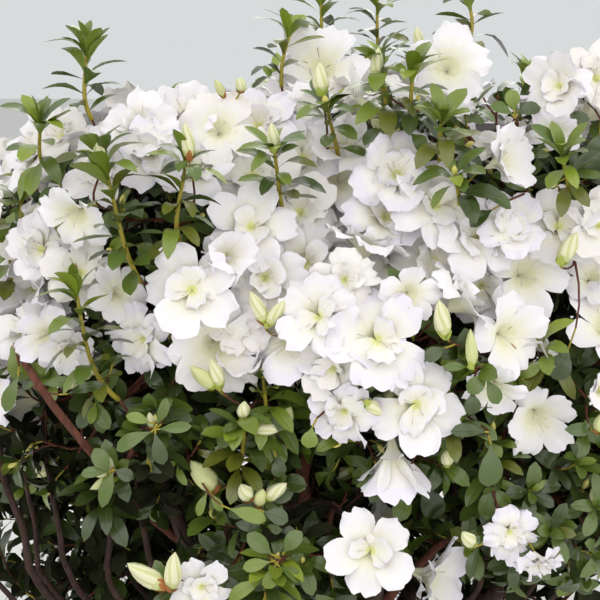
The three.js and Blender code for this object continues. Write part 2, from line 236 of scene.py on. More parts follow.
# Bare limbs that cross the photograph: a radius, then pixels with a depth, root first.
Bare = namedtuple("Bare", "radius points")
BARE_LIMBS = [Bare(*row) for row in (
    (0.0047, ((300, 640, -0.10), (150, 516, -0.15), (92, 454, 0.01), (38, 382, -0.015),
              (4, 328, -0.037), (-8, 286, 0.03), (30, 230, 0.13))),
    (0.0052, ((170, 700, -0.09), (50, 598, -0.20), (22, 530, -0.24), (-2, 440, -0.18),
              (30, 380, -0.08))),
    (0.0042, ((210, 700, -0.08), (86, 600, -0.17), (58, 520, -0.21), (44, 420, -0.18),
              (70, 360, -0.08))),
    (0.0046, ((250, 700, -0.08), (120, 600, -0.16), (110, 520, -0.19), (100, 380, -0.18))),
    (0.0036, ((150, 700, -0.10), (14, 600, -0.21), (-20, 540, -0.22), (-20, 450, -0.14),
              (20, 380, -0.04))),
    (0.0048, ((290, 700, -0.05), (170, 600, -0.12), (140, 500, -0.16), (128, 380, -0.16))),
    (0.0044, ((310, 680, -0.09), (222, 520, -0.22), (200, 440, -0.26), (176, 372, -0.26))),
    (0.0040, ((380, 700, -0.08), (470, 600, -0.20), (490, 540, -0.22), (510, 440, -0.22))),
    (0.0046, ((410, 700, -0.06), (520, 600, -0.19), (548, 560, -0.21), (590, 470, -0.21))),
    (0.0036, ((420, 700, -0.05), (552, 600, -0.16), (580, 560, -0.18), (616, 480, -0.18))),
    (0.0052, ((330, 700, -0.08), (352, 520, -0.17), (366, 450, -0.19), (372, 360, -0.17))),
    (0.0038, ((240, 700, -0.06), (62, 600, -0.11), (34, 520, -0.14), (24, 430, -0.12),
              (60, 360, -0.04))),
    (0.0042, ((270, 700, -0.04), (150, 600, -0.05), (84, 500, -0.08), (60, 400, -0.10))),
)]

# How a petal's half width and a leaf's go from root to tip, as shares of the widest.
PETAL_AT = (0, 0.2, 0.38, 0.55, 0.72, 0.88, 1)
PETAL_HALF = (0.1, 0.36, 0.54, 0.84, 1.0, 0.96, 0.77)
LEAF_AT = (0, 0.1, 0.25, 0.42, 0.62, 0.82, 0.93, 1)
LEAF_HALF = (0.08, 0.16, 0.55, 0.86, 1.0, 0.88, 0.58, 0.1)
BUD_AT = (0, 0.1, 0.28, 0.5, 0.72, 0.9, 1)
BUD_HALF = (0.4, 0.68, 0.96, 1.0, 0.76, 0.38, 0.02)

# Each kind of bloom: how steeply its lobes stand at the tip in degrees, from and to,
# how steep its tube is, how many inner petals it has, how ruffled and how long its lobes are.
KINDS = {
    "open": (-4, 18, 63, 6, 1.0, 1.0),
    "single": (4, 26, 58, 0, 0.9, 1.0),
    "bell": (34, 46, 80, 2, 0.9, 1.12),
    "trumpet": (37, 47, 80, 2, 0.5, 1.2),
    "flare": (6, 16, 80, 3, 1.0, 1.18),
    "opening": (62, 72, 80, 1, 0.6, 1.1),
    "spent": (-18, 16, 66, 6, 2.0, 0.95),
}


def unit(vectors):
    """The same directions at length one."""
    vectors = np.asarray(vectors, float)
    return vectors / np.maximum(np.linalg.norm(vectors, axis=-1, keepdims=True), 1e-9)


def smooth(value):
    """A step from 0 to 1 with soft ends."""
    value = np.clip(value, 0, 1)
    return value * value * (3 - 2 * value)


def across_of(direction, hint=UP):
    """Two directions square to one and to each other."""
    side = np.cross(direction, hint)
    if np.linalg.norm(side) < 0.05:
        side = np.cross(direction, (1.0, 0.0, 0.0))
    side = unit(side)
    return side, np.cross(side, direction)


def sight(across, down):
    """The direction in which the camera sees a pixel of the photograph."""
    share = PHOTO_SPAN / CAMERA_DISTANCE / PHOTO_SIDE
    middle = PHOTO_SIDE / 2
    return unit(LOOK + LOOK_RIGHT * (across - middle) * share + LOOK_UP * (middle - down) * share)


def at_depth(across, down, depth):
    """The point that the camera sees at a pixel, at a distance behind the crown's axis."""
    way = sight(across, down)
    return CAMERA_AT + way * (depth - CAMERA_AT[1]) / way[1]


def pixels_of(points):
    """Where the camera sees points, in pixels of the photograph."""
    gap = np.asarray(points, float) - CAMERA_AT
    share = PHOTO_SIDE * CAMERA_DISTANCE / PHOTO_SPAN / (gap @ LOOK)
    return PHOTO_SIDE / 2 + (gap @ LOOK_RIGHT) * share, PHOTO_SIDE / 2 - (gap @ LOOK_UP) * share


def metres_of(width, point):
    """What a width in pixels comes to at a point, in metres."""
    return width * PHOTO_SPAN / PHOTO_SIDE * ((point - CAMERA_AT) @ LOOK) / CAMERA_DISTANCE


def in_window(across, down, window):
    """Whether pixels lie in a window, told by its left, right, top and bottom."""
    left, right, top, bottom = window
    return (across > left) & (across < right) & (down > top) & (down < bottom)


class Shape:
    """A small mesh kept as arrays, so that hundreds of copies are joined at once."""

    def __init__(self, bm):
        bm.verts.index_update()
        self.points = np.array([vert.co for vert in bm.verts], float)
        self.loops = np.array([vert.index for face in bm.faces for vert in face.verts])
        self.sizes = np.array([len(face.verts) for face in bm.faces])
        self.middles = np.array([face.calc_center_median() for face in bm.faces], float)
        self.triangles = int((self.sizes - 2).sum())
        self.uv = np.zeros((len(self.points), 2))
        bm.free()


def sheet_shape(columns, rows):
    """A flat grid with its width from -1 to 1 and its length from 0 to 1."""
    bm = bmesh.new()
    bmesh.ops.create_grid(bm, x_segments=columns, y_segments=rows, size=1.0)
    bmesh.ops.translate(bm, verts=bm.verts, vec=(0, 1, 0))
    bmesh.ops.scale(bm, verts=bm.verts, vec=(1, 0.5, 1))
    shape = Shape(bm)
    shape.uv = shape.points[:, :2].copy()
    return shape


def tube_shape(sides, rings):
    """A closed tube of radius and length one, with the turn and the ring of each point."""
    bm = bmesh.new()
    bmesh.ops.create_circle(bm, segments=sides, radius=1.0)
    edges = list(bm.edges)
    for _ in range(rings - 1):
        grown = bmesh.ops.extrude_edge_only(bm, edges=edges)["geom"]
        verts = [item for item in grown if isinstance(item, bmesh.types.BMVert)]
        bmesh.ops.translate(bm, verts=verts, vec=(0, 0, 1 / (rings - 1)))
        top = set(verts)
        edges = [edge for edge in bm.edges if top.issuperset(edge.verts)]
    bmesh.ops.holes_fill(bm, edges=bm.edges, sides=sides)
    bmesh.ops.recalc_face_normals(bm, faces=bm.faces)
    shape = Shape(bm)
    shape.turn = np.arctan2(shape.points[:, 1], shape.points[:, 0])
    shape.ring = np.rint(shape.points[:, 2] * (rings - 1)).astype(int)
    shape.rings = rings
    shape.uv = np.stack([shape.turn / math.tau, shape.points[:, 2]], 1)
    return shape


class Heap:
    """Gathers copies of shapes and joins them into one piece."""

    def __init__(self):
        self.points, self.loops, self.sizes, self.slots, self.uvs = [], [], [], [], []
        self.count = 0
        self.triangles = 0

    def add(self, shape, points, slots):
        """Adds copies of a shape whose points are given, with a slot for each face."""
        points = np.asarray(points, float).reshape(-1, len(shape.points), 3)
        copies = len(points)
        starts = self.count + np.arange(copies)[:, None] * len(shape.points)
        self.points.append(points.reshape(-1, 3))
        self.loops.append((shape.loops[None] + starts).ravel())
        self.sizes.append(np.tile(shape.sizes, copies))
        self.slots.append(np.broadcast_to(slots, (copies, len(shape.sizes))).ravel())
        self.uvs.append(np.tile(shape.uv[shape.loops], (copies, 1)))
        self.count += copies * len(shape.points)
        self.triangles += copies * shape.triangles

    def build(self, name, materials):
        """Makes the joined piece."""
        sizes = np.concatenate(self.sizes)
        mesh = bpy.data.meshes.new(name)
        mesh.vertices.add(self.count)
        mesh.vertices.foreach_set("co", np.concatenate(self.points).astype(np.float32).ravel())
        mesh.loops.add(int(sizes.sum()))
        mesh.loops.foreach_set("vertex_index", np.concatenate(self.loops).astype(np.int32))
        mesh.polygons.add(len(sizes))
        starts = np.concatenate([[0], np.cumsum(sizes)[:-1]])
        mesh.polygons.foreach_set("loop_start", starts.astype(np.int32))
        mesh.polygons.foreach_set("material_index", np.concatenate(self.slots).astype(np.int32))
        lengthwise = mesh.uv_layers.new(name="lengthwise")
        lengthwise.data.foreach_set("uv", np.concatenate(self.uvs).astype(np.float32).ravel())
        for material in materials:
            mesh.materials.append(material)
        mesh.update(calc_edges=True)
        if mesh.validate():
            raise RuntimeError(f"{name} has faces that can't be kept")
        mesh.shade_smooth()
        piece = bpy.data.objects.new(name, mesh)
        bpy.context.scene.collection.objects.link(piece)
        return piece


def finish_piece(piece, nodes=()):
    """Lets a piece ride on the shrub and stand for the CAD nodes, which it hides."""
    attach(piece, "root")
    if nodes:
        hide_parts(*nodes)


def along(path, count):
    """Points at even steps along a path."""
    path = np.asarray(path, float)
    lengths = np.concatenate([[0], np.cumsum(np.linalg.norm(np.diff(path, axis=0), axis=1))])
    marks = np.linspace(0, lengths[-1], count)
    return np.stack([np.interp(marks, lengths, path[:, axis]) for axis in range(3)], 1)


def curve_through(points, step):
    """A smooth path through points, with a point at about every step."""
    points = np.asarray(points, float)
    ends = np.vstack([2 * points[0] - points[1], points, 2 * points[-1] - points[-2]])
    path = [points[0]]
    for a, b, c, d in zip(ends, ends[1:], ends[2:], ends[3:]):
        count = max(2, int(np.linalg.norm(c - b) / step))
        for t in np.arange(1, count + 1) / count:
            path.append(0.5 * (2 * b + (c - a) * t + (2 * a - 5 * b + 4 * c - d) * t**2
                               + (3 * b - a - 3 * c + d) * t**3))
    return np.array(path)


def bend(start, lead, end, out, count):
    """A path that leaves in one direction and arrives in another."""
    length = np.linalg.norm(end - start)
    first, last = start + lead * length * 0.36, end - out * length * 0.36
    t = np.linspace(0, 1, count)[:, None]
    s = 1 - t
    return s**3 * start + 3 * s**2 * t * first + 3 * s * t**2 * last + t**3 * end


def crowded(spot, placed, apart):
    """Whether a spot lies nearer than that to one of those placed."""
    return len(placed) > 0 and np.linalg.norm(placed - spot, axis=1).min() < apart


def planted(points, at, out):
    """Points whose upright axis is turned to a direction, moved to a place."""
    side, other = across_of(out)
    return points @ np.stack([side, other, out]) + at


def frames_along(path):
    """The direction of a path at each of its points, and two directions square to it."""
    lead = unit(np.gradient(path, axis=0))
    side, _ = across_of(lead[0], np.array([0.31, 0.87, 0.38]))
    sides = [side]
    for direction in lead[1:]:
        side = unit(side - direction * (side @ direction))
        sides.append(side)
    sides = np.array(sides)
    return lead, sides, np.cross(lead, sides)


def sweep(shape, path, radii, relief=None):
    """A tube shape laid along a path, with a radius for each point of the path."""
    centres = along(path, shape.rings)
    radii = np.interp(np.linspace(0, 1, shape.rings), np.linspace(0, 1, len(radii)), radii)
    _, side, other = frames_along(centres)
    ring, turn = shape.ring, shape.turn[:, None]
    out = side[ring] * np.cos(turn) + other[ring] * np.sin(turn)
    radius = radii[ring][:, None]
    if relief is not None:
        radius = radius + relief(shape, centres[ring], out)[:, None]
    return centres[ring] + out * radius


class Crown:
    """The surface of the foliage masses of the frame."""

    def __init__(self):
        self.names = sorted(name for name in frame["nodes"] if name.startswith("foliage_"))
        points, faces, owners = [], [], []
        for number, name in enumerate(self.names):
            mesh = frame["nodes"][name].data
            start = len(points)
            points += [vert.co.copy() for vert in mesh.vertices]
            faces += [[start + i for i in face.vertices] for face in mesh.polygons]
            owners += [number] * len(mesh.polygons)
        self.owners = owners
        self.tree = BVHTree.FromPolygons(points, faces)
        self.middles = [np.array(sum(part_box(name), Vector())) / 2 for name in self.names]

    def hit(self, start, way):
        """The first point of the surface on a ray, its outward direction and its mass."""
        spot, normal, face, _ = self.tree.ray_cast(Vector(start), Vector(way))
        if spot is None:
            return None
        return np.array(spot), np.array(normal), self.owners[face]

    def nearest(self, point):
        """The nearest point of the surface, its outward direction and its mass."""
        spot, normal, face, _ = self.tree.find_nearest(Vector(point))
        return np.array(spot), np.array(normal), self.owners[face]

    def seen_at(self, across, down):
        """The point of the surface that the camera sees at a pixel, or the nearest one."""
        way = sight(across, down)
        found = self.hit(CAMERA_AT, way)
        if found is not None:
            return found
        tries = [CAMERA_AT + way * reach for reach in np.linspace(1.1, 1.7, 25)]
        gaps = [np.linalg.norm(self.nearest(point)[0] - point) for point in tries]
        point = tries[int(np.argmin(gaps))]
        _, normal, mass = self.nearest(point)
        return point, normal, mass


# Where something grows: its place, the way that it faces, its mass, what it is, its size, and
# a detail: a spray's depth, a leaf's tint, 1 for a bud or shoot of the photograph, 2 for a shoot
# of the frame. A shoot's place is its tip, and it has its foot instead of a way.
Anchor = namedtuple("Anchor", "at out mass kind size detail")
# Spots on the crown: place, outward direction and mass, and which lie where in the photograph.
Spots = namedtuple("Spots", "at normal mass inside leafy solid bare dim behind")


class Growth:
    """The branching: points in space, each borne by an earlier one."""

    ROOM = 80000

    def __init__(self):
        self.at = np.zeros((self.ROOM, 3))
        self.lead = np.zeros((self.ROOM, 3))
        self.parent = np.full(self.ROOM, -1)
        self.bears = np.zeros(self.ROOM, bool)
        self.load = np.zeros(self.ROOM)
        self.count = 0

    def lay(self, path, parent, barren=0):
        """Adds a path of points, and returns their numbers. The last few bear nothing."""
        numbers = np.arange(self.count, self.count + len(path))
        whole = path if parent < 0 else np.vstack([self.at[parent], path])
        lead = unit(np.gradient(whole, axis=0))
        self.at[numbers] = path
        self.lead[numbers] = lead if parent < 0 else lead[1:]
        self.parent[numbers] = np.concatenate([[parent], numbers[:-1]])
        self.bears[numbers[: len(path) - barren]] = True
        self.count += len(path)
        return numbers

    def bearer(self, tip, out):
        """The point that a new twig to a tip grows from."""
        gap = tip - self.at[: self.count]
        length = np.linalg.norm(gap, axis=1)
        way = gap / np.maximum(length, 1e-6)[:, None]
        straight = np.einsum("ij,ij->i", way, self.lead[: self.count])
        cost = length * (1.5 - 0.5 * straight) + 0.11 * np.maximum(0, 0.6 - way @ out)
        cost[~self.bears[: self.count] | (length < 0.02)] = np.inf
        return int(np.argmin(cost))

    def grow(self, tip, out, barren=1):
        """Grows a twig to a tip, and returns the numbers of its points, the bearer first."""
        start = self.bearer(tip, out)
        length = np.linalg.norm(tip - self.at[start])
        count = max(4, int(length / TWIG_STEP) + 2)
        path = bend(self.at[start], self.lead[start], tip, out, count)
        path[:, 2] = np.maximum(path[:, 2], 0.015)
        numbers = self.lay(path[1:], start, min(barren, count - 2))
        self.load[numbers[-1]] = 1
        return np.concatenate([[start], numbers])

    def add_up(self):
        """Works out how many tips each point carries."""
        for number in range(self.count - 1, 0, -1):
            if self.parent[number] >= 0:
                self.load[self.parent[number]] += self.load[number]


Limb = namedtuple("Limb", "name path radii kind")


def limb_rings(name):
    """The middle of each ring of a limb's CAD node from its foot to its tip, and its radius."""
    mesh = frame["nodes"][name].data
    points = np.unique(np.array([vert.co for vert in mesh.vertices]).round(4), axis=0)
    reach = points[:, 2] + np.hypot(points[:, 0], points[:, 1])
    order = np.argsort(reach)
    points, reach = points[order], reach[order]
    rings = np.split(points, np.where(np.diff(reach) > 0.012)[0] + 1)
    if len(rings) < 2:
        rings = np.array_split(points, 2)
    middles = np.array([ring.mean(0) for ring in rings])
    radii = [np.linalg.norm(ring - ring.mean(0), axis=1).mean() for ring in rings if len(ring) < 8]
    return middles, float(np.median(radii)) if radii else 0.004


class Plan:
    """What grows where: the limbs, the twigs, and the anchors of blooms, sprays and shoots."""

    def __init__(self, sizes):
        self.sizes = sizes
        self.roll = np.random.default_rng(20)
        self.crown = Crown()
        self.growth = Growth()
        self.limbs = []
        self.anchors = []
        self.twigs = []
        self.lay_limbs()
        self.place_anchors()
        self.grow_twigs()
        self.growth.add_up()

    def lay_limbs(self):
        """Lays the stems, the boughs and the bare limbs, and leads each on into its mass."""
        names = sorted(n for n in frame["nodes"] if n.startswith(("stem_", "inner_stem_")))
        for name in names:
            self.lay_limb(name, -1, "stem")
        for name in sorted(n for n in frame["nodes"] if n.startswith("bough_")):
            middles, _ = limb_rings(name)
            gaps = np.linalg.norm(self.growth.at[: self.growth.count] - middles[0], axis=1)
            self.lay_limb(name, int(np.argmin(gaps)), "bough")
        for number, bare in enumerate(BARE_LIMBS):
            points = [at_depth(*bare.points[0])]
            for across, down, depth in bare.points[1:]:
                if depth > FROM_SURFACE:
                    depth += self.crown.seen_at(across, down)[0][1] - 0.016
                points.append(at_depth(across, down, depth))
            points = np.array(points)
            foot = np.array([points[0][0] * 0.18, points[0][1] * 0.3 - 0.01, 0.07])
            path = curve_through(np.vstack([foot, points]), TWIG_STEP)
            path[2:-1] += self.roll.normal(0, 0.0007, path[2:-1].shape)
            barren = len(path) // 2 if number == 0 else len(path) - 3
            self.growth.lay(path, -1, barren)
            radii = bare.radius * np.linspace(1.2, 0.45, len(path))
            self.limbs.append(Limb(f"bare_{number}", path, radii, "bare"))

    def lay_limb(self, name, bearer, kind):
        """Lays one limb of the frame along the middles of its rings and on into its mass."""
        middles, radius = limb_rings(name)
        way = unit(middles[-1] - middles[-2])
        ahead = middles[-1] + way * 0.09
        mass = min(self.crown.middles, key=lambda middle: np.linalg.norm(middle - ahead))
        outward = unit(mass - np.array([0, 0, 0.3]))
        inside = [middles[-1] + way * 0.03, mass * 0.6 + ahead * 0.4, mass + outward * 0.045]
        if bearer < 0:
            first = middles[0] - unit(middles[1] - middles[0]) * 0.03
        else:
            first = self.growth.at[bearer]
        path = curve_through(np.vstack([first, middles, inside]), TWIG_STEP)
        held = len(curve_through(np.vstack([first, middles]), TWIG_STEP))
        taper = np.linspace(1.22, 0.85, held)
        thin = np.linspace(0.8, 0.28, len(path) - held)
        numbers = self.growth.lay(path if bearer < 0 else path[1:], bearer)
        self.growth.load[numbers[-1]] = 1
        self.limbs.append(Limb(name, path, radius * np.concatenate([taper, thin]), kind))

    def place_anchors(self):
        """Places the photographed things first, then fills the crown round all its sides."""
        self.photo_blooms()
        self.photo_shoots()
        self.frame_shoots()
        self.photo_buds()
        self.photo_leaves()
        self.fill_crown()

    def facing(self, right, up, towards=1.0):
        """A direction that faces right and up as the camera sees it."""
        rest = math.sqrt(max(0.0, 1 - right * right - up * up))
        return unit(LOOK_RIGHT * right + LOOK_UP * up - LOOK * rest * towards)

    def photo_blooms(self):
        """The blooms that the photograph shows one by one."""
        for bloom in PHOTO_BLOOMS:
            spot, normal, mass = self.crown.seen_at(bloom.across, bloom.down)
            width = float(np.clip(metres_of(bloom.width, spot), 0.048, 0.088))
            towards = -1 if bloom.kind == "trumpet" else 1
            out = self.facing(bloom.right, bloom.up, towards)
            lift = 0.014 if bloom.kind in ("bell", "trumpet", "flare") else 0.01
            near = 0.045 * smooth((bloom.down - 480) / 60) + 0.05 * smooth((90 - bloom.down) / 16)
            near += 0.02 * (bloom.up < -0.25) + 0.015 * (bloom.up < -0.9)
            near -= 0.02 * smooth((45 - self.off_shoots(bloom.across, bloom.down)) / 20)
            root = spot + unit(normal - LOOK) * lift - out * FACE_AHEAD * width
            root = root - sight(bloom.across, bloom.down) * near
            root[1] = max(root[1], FRONT)
            self.anchors.append(Anchor(root, out, mass, bloom.kind, width, 0))

    def off_shoots(self, across, down):
        """How many pixels lie between a spot and the nearest tall shoot in the photograph."""
        gaps = []
        for shoot in PHOTO_SHOOTS:
            if shoot.kind != "small":
                foot = np.array([shoot.foot_across, shoot.foot_down])
                rise = np.array([shoot.across, shoot.down]) - foot
                gap = np.array([across, down]) - foot
                gaps.append(np.linalg.norm(gap - rise * np.clip(gap @ rise / (rise @ rise), 0, 1)))
        return min(gaps)

    def photo_shoots(self):
        """The leafy shoots that stand in front of the blossom."""
        for shoot in PHOTO_SHOOTS:
            spot, _, mass = self.crown.seen_at(shoot.foot_across, shoot.foot_down)
            foot = at_depth(shoot.foot_across, shoot.foot_down, max(spot[1], FRONT + 0.01))
            tip = at_depth(shoot.across, shoot.down, max(spot[1] - 0.034, FRONT))
            self.anchors.append(Anchor(tip, foot, mass, "shoot", shoot.kind, 1))

    def frame_shoots(self):
        """The shoots of the frame, which stand clear above the crown."""
        for name in sorted(n for n in frame["nodes"] if n.startswith("shoot_")):
            points = np.array([vert.co for vert in frame["nodes"][name].data.vertices])
            tip = points[np.argmax(points[:, 2])]
            low = points[points[:, 2] < points[:, 2].min() + 0.012].mean(0)
            _, _, mass = self.crown.nearest(low)
            self.anchors.append(Anchor(tip - UP * 0.037, low, mass, "shoot", "leafy", 2))

    def photo_buds(self):
        """The closed flower buds that the photograph shows."""
        seen = [(*pixels_of(a.at + a.out * FACE_AHEAD * a.size), a.at[1] - 0.036, 44)
                for a in self.anchors if a.kind in KINDS]
        seen += [(*pixels_of(a.at), a.at[1] - 0.004, 15) for a in self.anchors if a.kind == "shoot"]
        for bud in PHOTO_BUDS:
            spot, normal, mass = self.crown.seen_at(bud.across, bud.down)
            depth = (spot + unit(normal - LOOK) * 0.016)[1] - 0.05 * smooth((106 - bud.down) / 16)
            for across, down, ahead, reach in seen:
                near = math.hypot(across - bud.across, down - bud.down) < reach
                if near and (bud.down > 100 or reach < 20):
                    depth = min(depth, ahead)
            depth = max(depth, FRONT - 0.032)
            root = at_depth(bud.across, bud.down, depth)
            tip = at_depth(bud.tip_across, bud.tip_down, depth - 0.004)
            size = (np.linalg.norm(tip - root), metres_of(bud.thick, root) / 2)
            self.anchors.append(Anchor(root, unit(tip - root), mass, "bud", size, 1))

    def photo_leaves(self):
        """The leaves that stand out in the photograph, each on its own twig."""
        for leaf in PHOTO_LEAVES:
            spot, _, mass = self.crown.seen_at(leaf.across, leaf.down)
            root = at_depth(leaf.across, leaf.down, max(spot[1] - 0.03, FRONT - 0.03))
            tip = at_depth(leaf.tip_across, leaf.tip_down, root[1] - 0.004)
            size = (np.linalg.norm(tip - root), metres_of(leaf.half, root))
            self.anchors.append(Anchor(root, unit(tip - root), mass, "leaf", size, leaf.tint))

    def fill_crown(self):
        """Blooms and leafy sprays by seeded chance, kept apart, round the whole crown."""
        spots = self.crown_spots()
        order = self.roll.permutation(len(spots.at))
        blooms = self.fill_blooms(spots, order)
        self.fill_sprays(spots, order, blooms)
        self.fill_core()

    def crown_spots(self):
        """Even spots on the crown's surface, and which of them lie where in the photograph."""
        number = np.arange(CROWN_TRIES) + 0.5
        lift = 1 - 2 * number / CROWN_TRIES
        turn = GOLDEN_ANGLE * number
        flat = np.sqrt(1 - lift**2)
        ways = np.stack([flat * np.cos(turn), flat * np.sin(turn), lift], 1)
        found = [self.crown.hit(CROWN_MIDDLE + way * 1.2, -way) for way in ways]
        found = [item for item in found if item is not None]
        spots, normals, masses = (np.array(column) for column in zip(*found))
        spots = self.under_skyline(spots)
        across, down = pixels_of(spots)
        front = (spots - CAMERA_AT) @ LOOK < FRONT_HALF
        front &= np.einsum("ij,ij->i", normals, CAMERA_AT - spots) > 0.05
        inside = front & in_window(across, down, PHOTO_WINDOW)
        leafy, solid, bare = (np.zeros(len(spots), bool) for _ in range(3))
        for x, y, radius in LEAFY_POCKETS:
            leafy |= inside & (np.hypot(across - x, down - y) < radius)
        for x, y, wide, high in SOLID_WHITE:
            solid |= inside & (np.hypot((across - x) / wide, (down - y) / high) < 1)
        for window in BARE_WINDOWS:
            bare |= front & in_window(across, down, window)
        low_left = in_window(across, down, DIM_WINDOW)
        return Spots(spots, normals, masses, inside, leafy, solid, bare, front & low_left,
                     low_left & (spots[:, 1] < 0.15))

    def fill_blooms(self, spots, order):
        """Blooms all over the crown, densest high up, with none in the leafy pockets."""
        blooms = [a.at + a.out * FACE_AHEAD * a.size for a in self.anchors if a.kind in KINDS]
        for i in order:
            at, normal = spots.at[i], spots.normal[i]
            if spots.leafy[i] or spots.bare[i] or spots.behind[i] or normal[2] < -0.55:
                continue
            share = smooth((at[2] - 0.36) / 0.16) * 0.92 + 0.08 * smooth((at[2] - 0.26) / 0.08)
            apart = self.sizes.bloom_spacing / (0.42 + 0.58 * share)
            if spots.inside[i]:
                apart *= 0.68 if spots.solid[i] else 0.9
            if not crowded(at, np.array(blooms), apart):
                self.add_bloom(at, normal, spots.mass[i])
                blooms.append(at)
        return np.array(blooms)

    def fill_sprays(self, spots, order, blooms):
        """Layers of leafy sprays, the outermost clear of the blooms."""
        for depth, apart, clear in SPRAY_LAYERS:
            placed = np.zeros((0, 3))
            for i in order:
                if spots.bare[i] and (depth < DEEP or self.roll.random() < 0.5):
                    continue
                if spots.solid[i] and depth < SHALLOW:
                    continue
                if spots.dim[i] and depth < DEEP and self.roll.random() < 0.75:
                    continue
                at = spots.at[i] - spots.normal[i] * (depth + 0.012 * self.roll.random())
                if crowded(at, placed, apart) or crowded(spots.at[i], blooms, clear):
                    continue
                placed = np.vstack([placed, at])
                self.add_spray(at, spots.normal[i], spots.mass[i], depth)

    def under_skyline(self, spots):
        """Lowers the spots that would show above the crown's edge in the photograph."""
        spots = spots.copy()
        edges, heights = zip(*SKYLINE)
        for _ in range(2):
            across, down = pixels_of(spots)
            over = np.interp(across, edges, heights) + 26 - down
            spots[:, 2] -= np.clip(over, 0, 110) * PHOTO_SPAN / PHOTO_SIDE * 1.2
        return spots

    def fill_core(self):
        """Leafy twigs between the masses and low down round the stems, darkened with painted shade.
        """
        placed = np.zeros((0, 3))
        for _ in range(CORE_TRIES):
            spot = self.roll.uniform(*CORE_BOX)
            behind = spot[1] > 0.02 and spot[2] < 0.3
            limit = np.interp(spot[2], *(CORE_REACH_BEHIND if behind else CORE_REACH))
            reach = math.hypot(spot[0] / CORE_HALF[0], spot[1] / CORE_HALF[1])
            if reach > limit or (math.hypot(spot[0], spot[1]) < 0.1 and spot[2] < 0.2):
                continue
            across, down = pixels_of(spot)
            if spot[1] < -0.1 and spot[0] < -0.08 and down > 440:
                continue
            seen = self.crown.hit(CAMERA_AT, unit(spot - CAMERA_AT))
            if spot[1] < (-0.16 if seen is None else seen[0][1] + 0.06):
                continue
            apart = 0.046 if spot[0] < 0.05 and spot[2] < 0.36 else 0.056
            if across < 220 and down > 420 and spot[1] > -0.14:
                apart = 0.031
            if crowded(spot, placed, apart):
                continue
            placed = np.vstack([placed, spot])
            _, _, mass = self.crown.nearest(spot)
            away = unit(np.array([spot[0], spot[1], 0.08]))
            outer = spot[1] > 0 and reach > 0.8 * limit
            # The depth sets the painted shade of the leaves: the outer ones behind get less.
            self.add_spray(spot, away, mass, 0.04 if outer else 0.1)

    def add_bloom(self, spot, normal, mass):
        """One bloom on the crown's surface, turned a little by chance."""
        out = unit(unit(normal + UP * 0.22) + self.roll.normal(0, 0.33, 3))
        kind = self.roll.choice(["open", "single", "bell", "opening", "spent"],
                                p=[0.6, 0.2, 0.09, 0.05, 0.06])
        width = self.sizes.bloom_width * self.roll.uniform(0.86, 1.08)
        lift = self.roll.uniform(-0.012, 0.01)
        if out @ normal < 0.3:
            out = unit(out + normal * 0.5)
        at = spot + normal * lift - out * FACE_AHEAD * width
        at[1] = max(at[1], FRONT)
        self.anchors.append(Anchor(at, out, int(mass), str(kind), width, 0))

    def add_spray(self, spot, normal, mass, depth):
        """One leafy spray, which looks out and up."""
        out = unit(unit(normal + UP * 0.35) + self.roll.normal(0, 0.3, 3))
        count = int(self.roll.integers(*((7, 11) if depth < SHALLOW else (6, 9))))
        self.anchors.append(Anchor(spot, out, int(mass), "spray", count, depth))

    def grow_twigs(self):
        """Grows inner branches first, then a twig to each anchor, the nearest first."""
        inner = []
        for middle, name in zip(self.crown.middles, self.crown.names):
            low, high = (np.array(corner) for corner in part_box(name))
            for _ in range(16):
                way = unit(self.roll.normal(0, 1, 3) + unit(middle - np.array([0, 0, 0.25])) * 0.9)
                reach = self.roll.uniform(0.35, 0.72)
                inner.append((middle + way * (high - low) / 2 * reach, way))
        for tip, way in self.nearest_first(inner, lambda item: item[0]):
            numbers = self.growth.grow(tip, unit(way + UP * 0.3), barren=0)
            self.twigs.append((numbers, None))

        def root_of(anchor):
            return anchor.out if anchor.kind == "shoot" else anchor.at

        for anchor in self.nearest_first(self.anchors, root_of):
            if anchor.kind == "shoot":
                self.grow_shoot(anchor)
            else:
                out = unit(anchor.out * 0.5 - LOOK) if anchor.kind == "bud" else anchor.out
                self.twigs.append((self.growth.grow(anchor.at, out, 2), anchor))

    def nearest_first(self, items, place_of):
        """Items in order of how near their places lie to what has grown so far."""
        base = self.growth.at[: self.growth.count].copy()
        return sorted(items, key=lambda item: np.linalg.norm(base - place_of(item), axis=1).min())

    def grow_shoot(self, anchor):
        """Grows a twig to a shoot's foot, and the shoot up from there."""
        foot_at = anchor.out
        rise = unit(anchor.at - foot_at)
        out = unit(rise + unit(foot_at - CROWN_MIDDLE) * 0.8)
        foot = self.growth.grow(foot_at, out, barren=2)
        path = bend(foot_at, out, anchor.at, unit(rise + UP * 0.25), 12)
        wave = np.sin(np.linspace(0, math.pi, 12))[:, None]
        path = path + wave * self.roll.normal(0, 0.0025, 3)
        numbers = self.growth.lay(path[1:], foot[-1], 11)
        self.growth.load[numbers[-1]] = 1
        self.twigs.append((foot, None))
        self.twigs.append((np.concatenate([[foot[-1]], numbers]), anchor))

    def radii(self, numbers):
        """The radius of a twig at each of its points, from the tips that it carries."""
        tip = self.sizes.twig_radius
        radii = tip * np.maximum(self.growth.load[numbers], 1) ** 0.42
        radii[0] = min(radii[0], radii[1] * 1.25)
        rest = np.linspace(len(numbers) * TWIG_STEP, 0, len(numbers))
        return radii + rest * 0.004


plans = {}


def plan():
    """The shrub's plan, worked out once."""
    if "shrub" not in plans:
        plans["shrub"] = Plan(bpy.context.scene.azalea_sizes)
    return plans["shrub"]


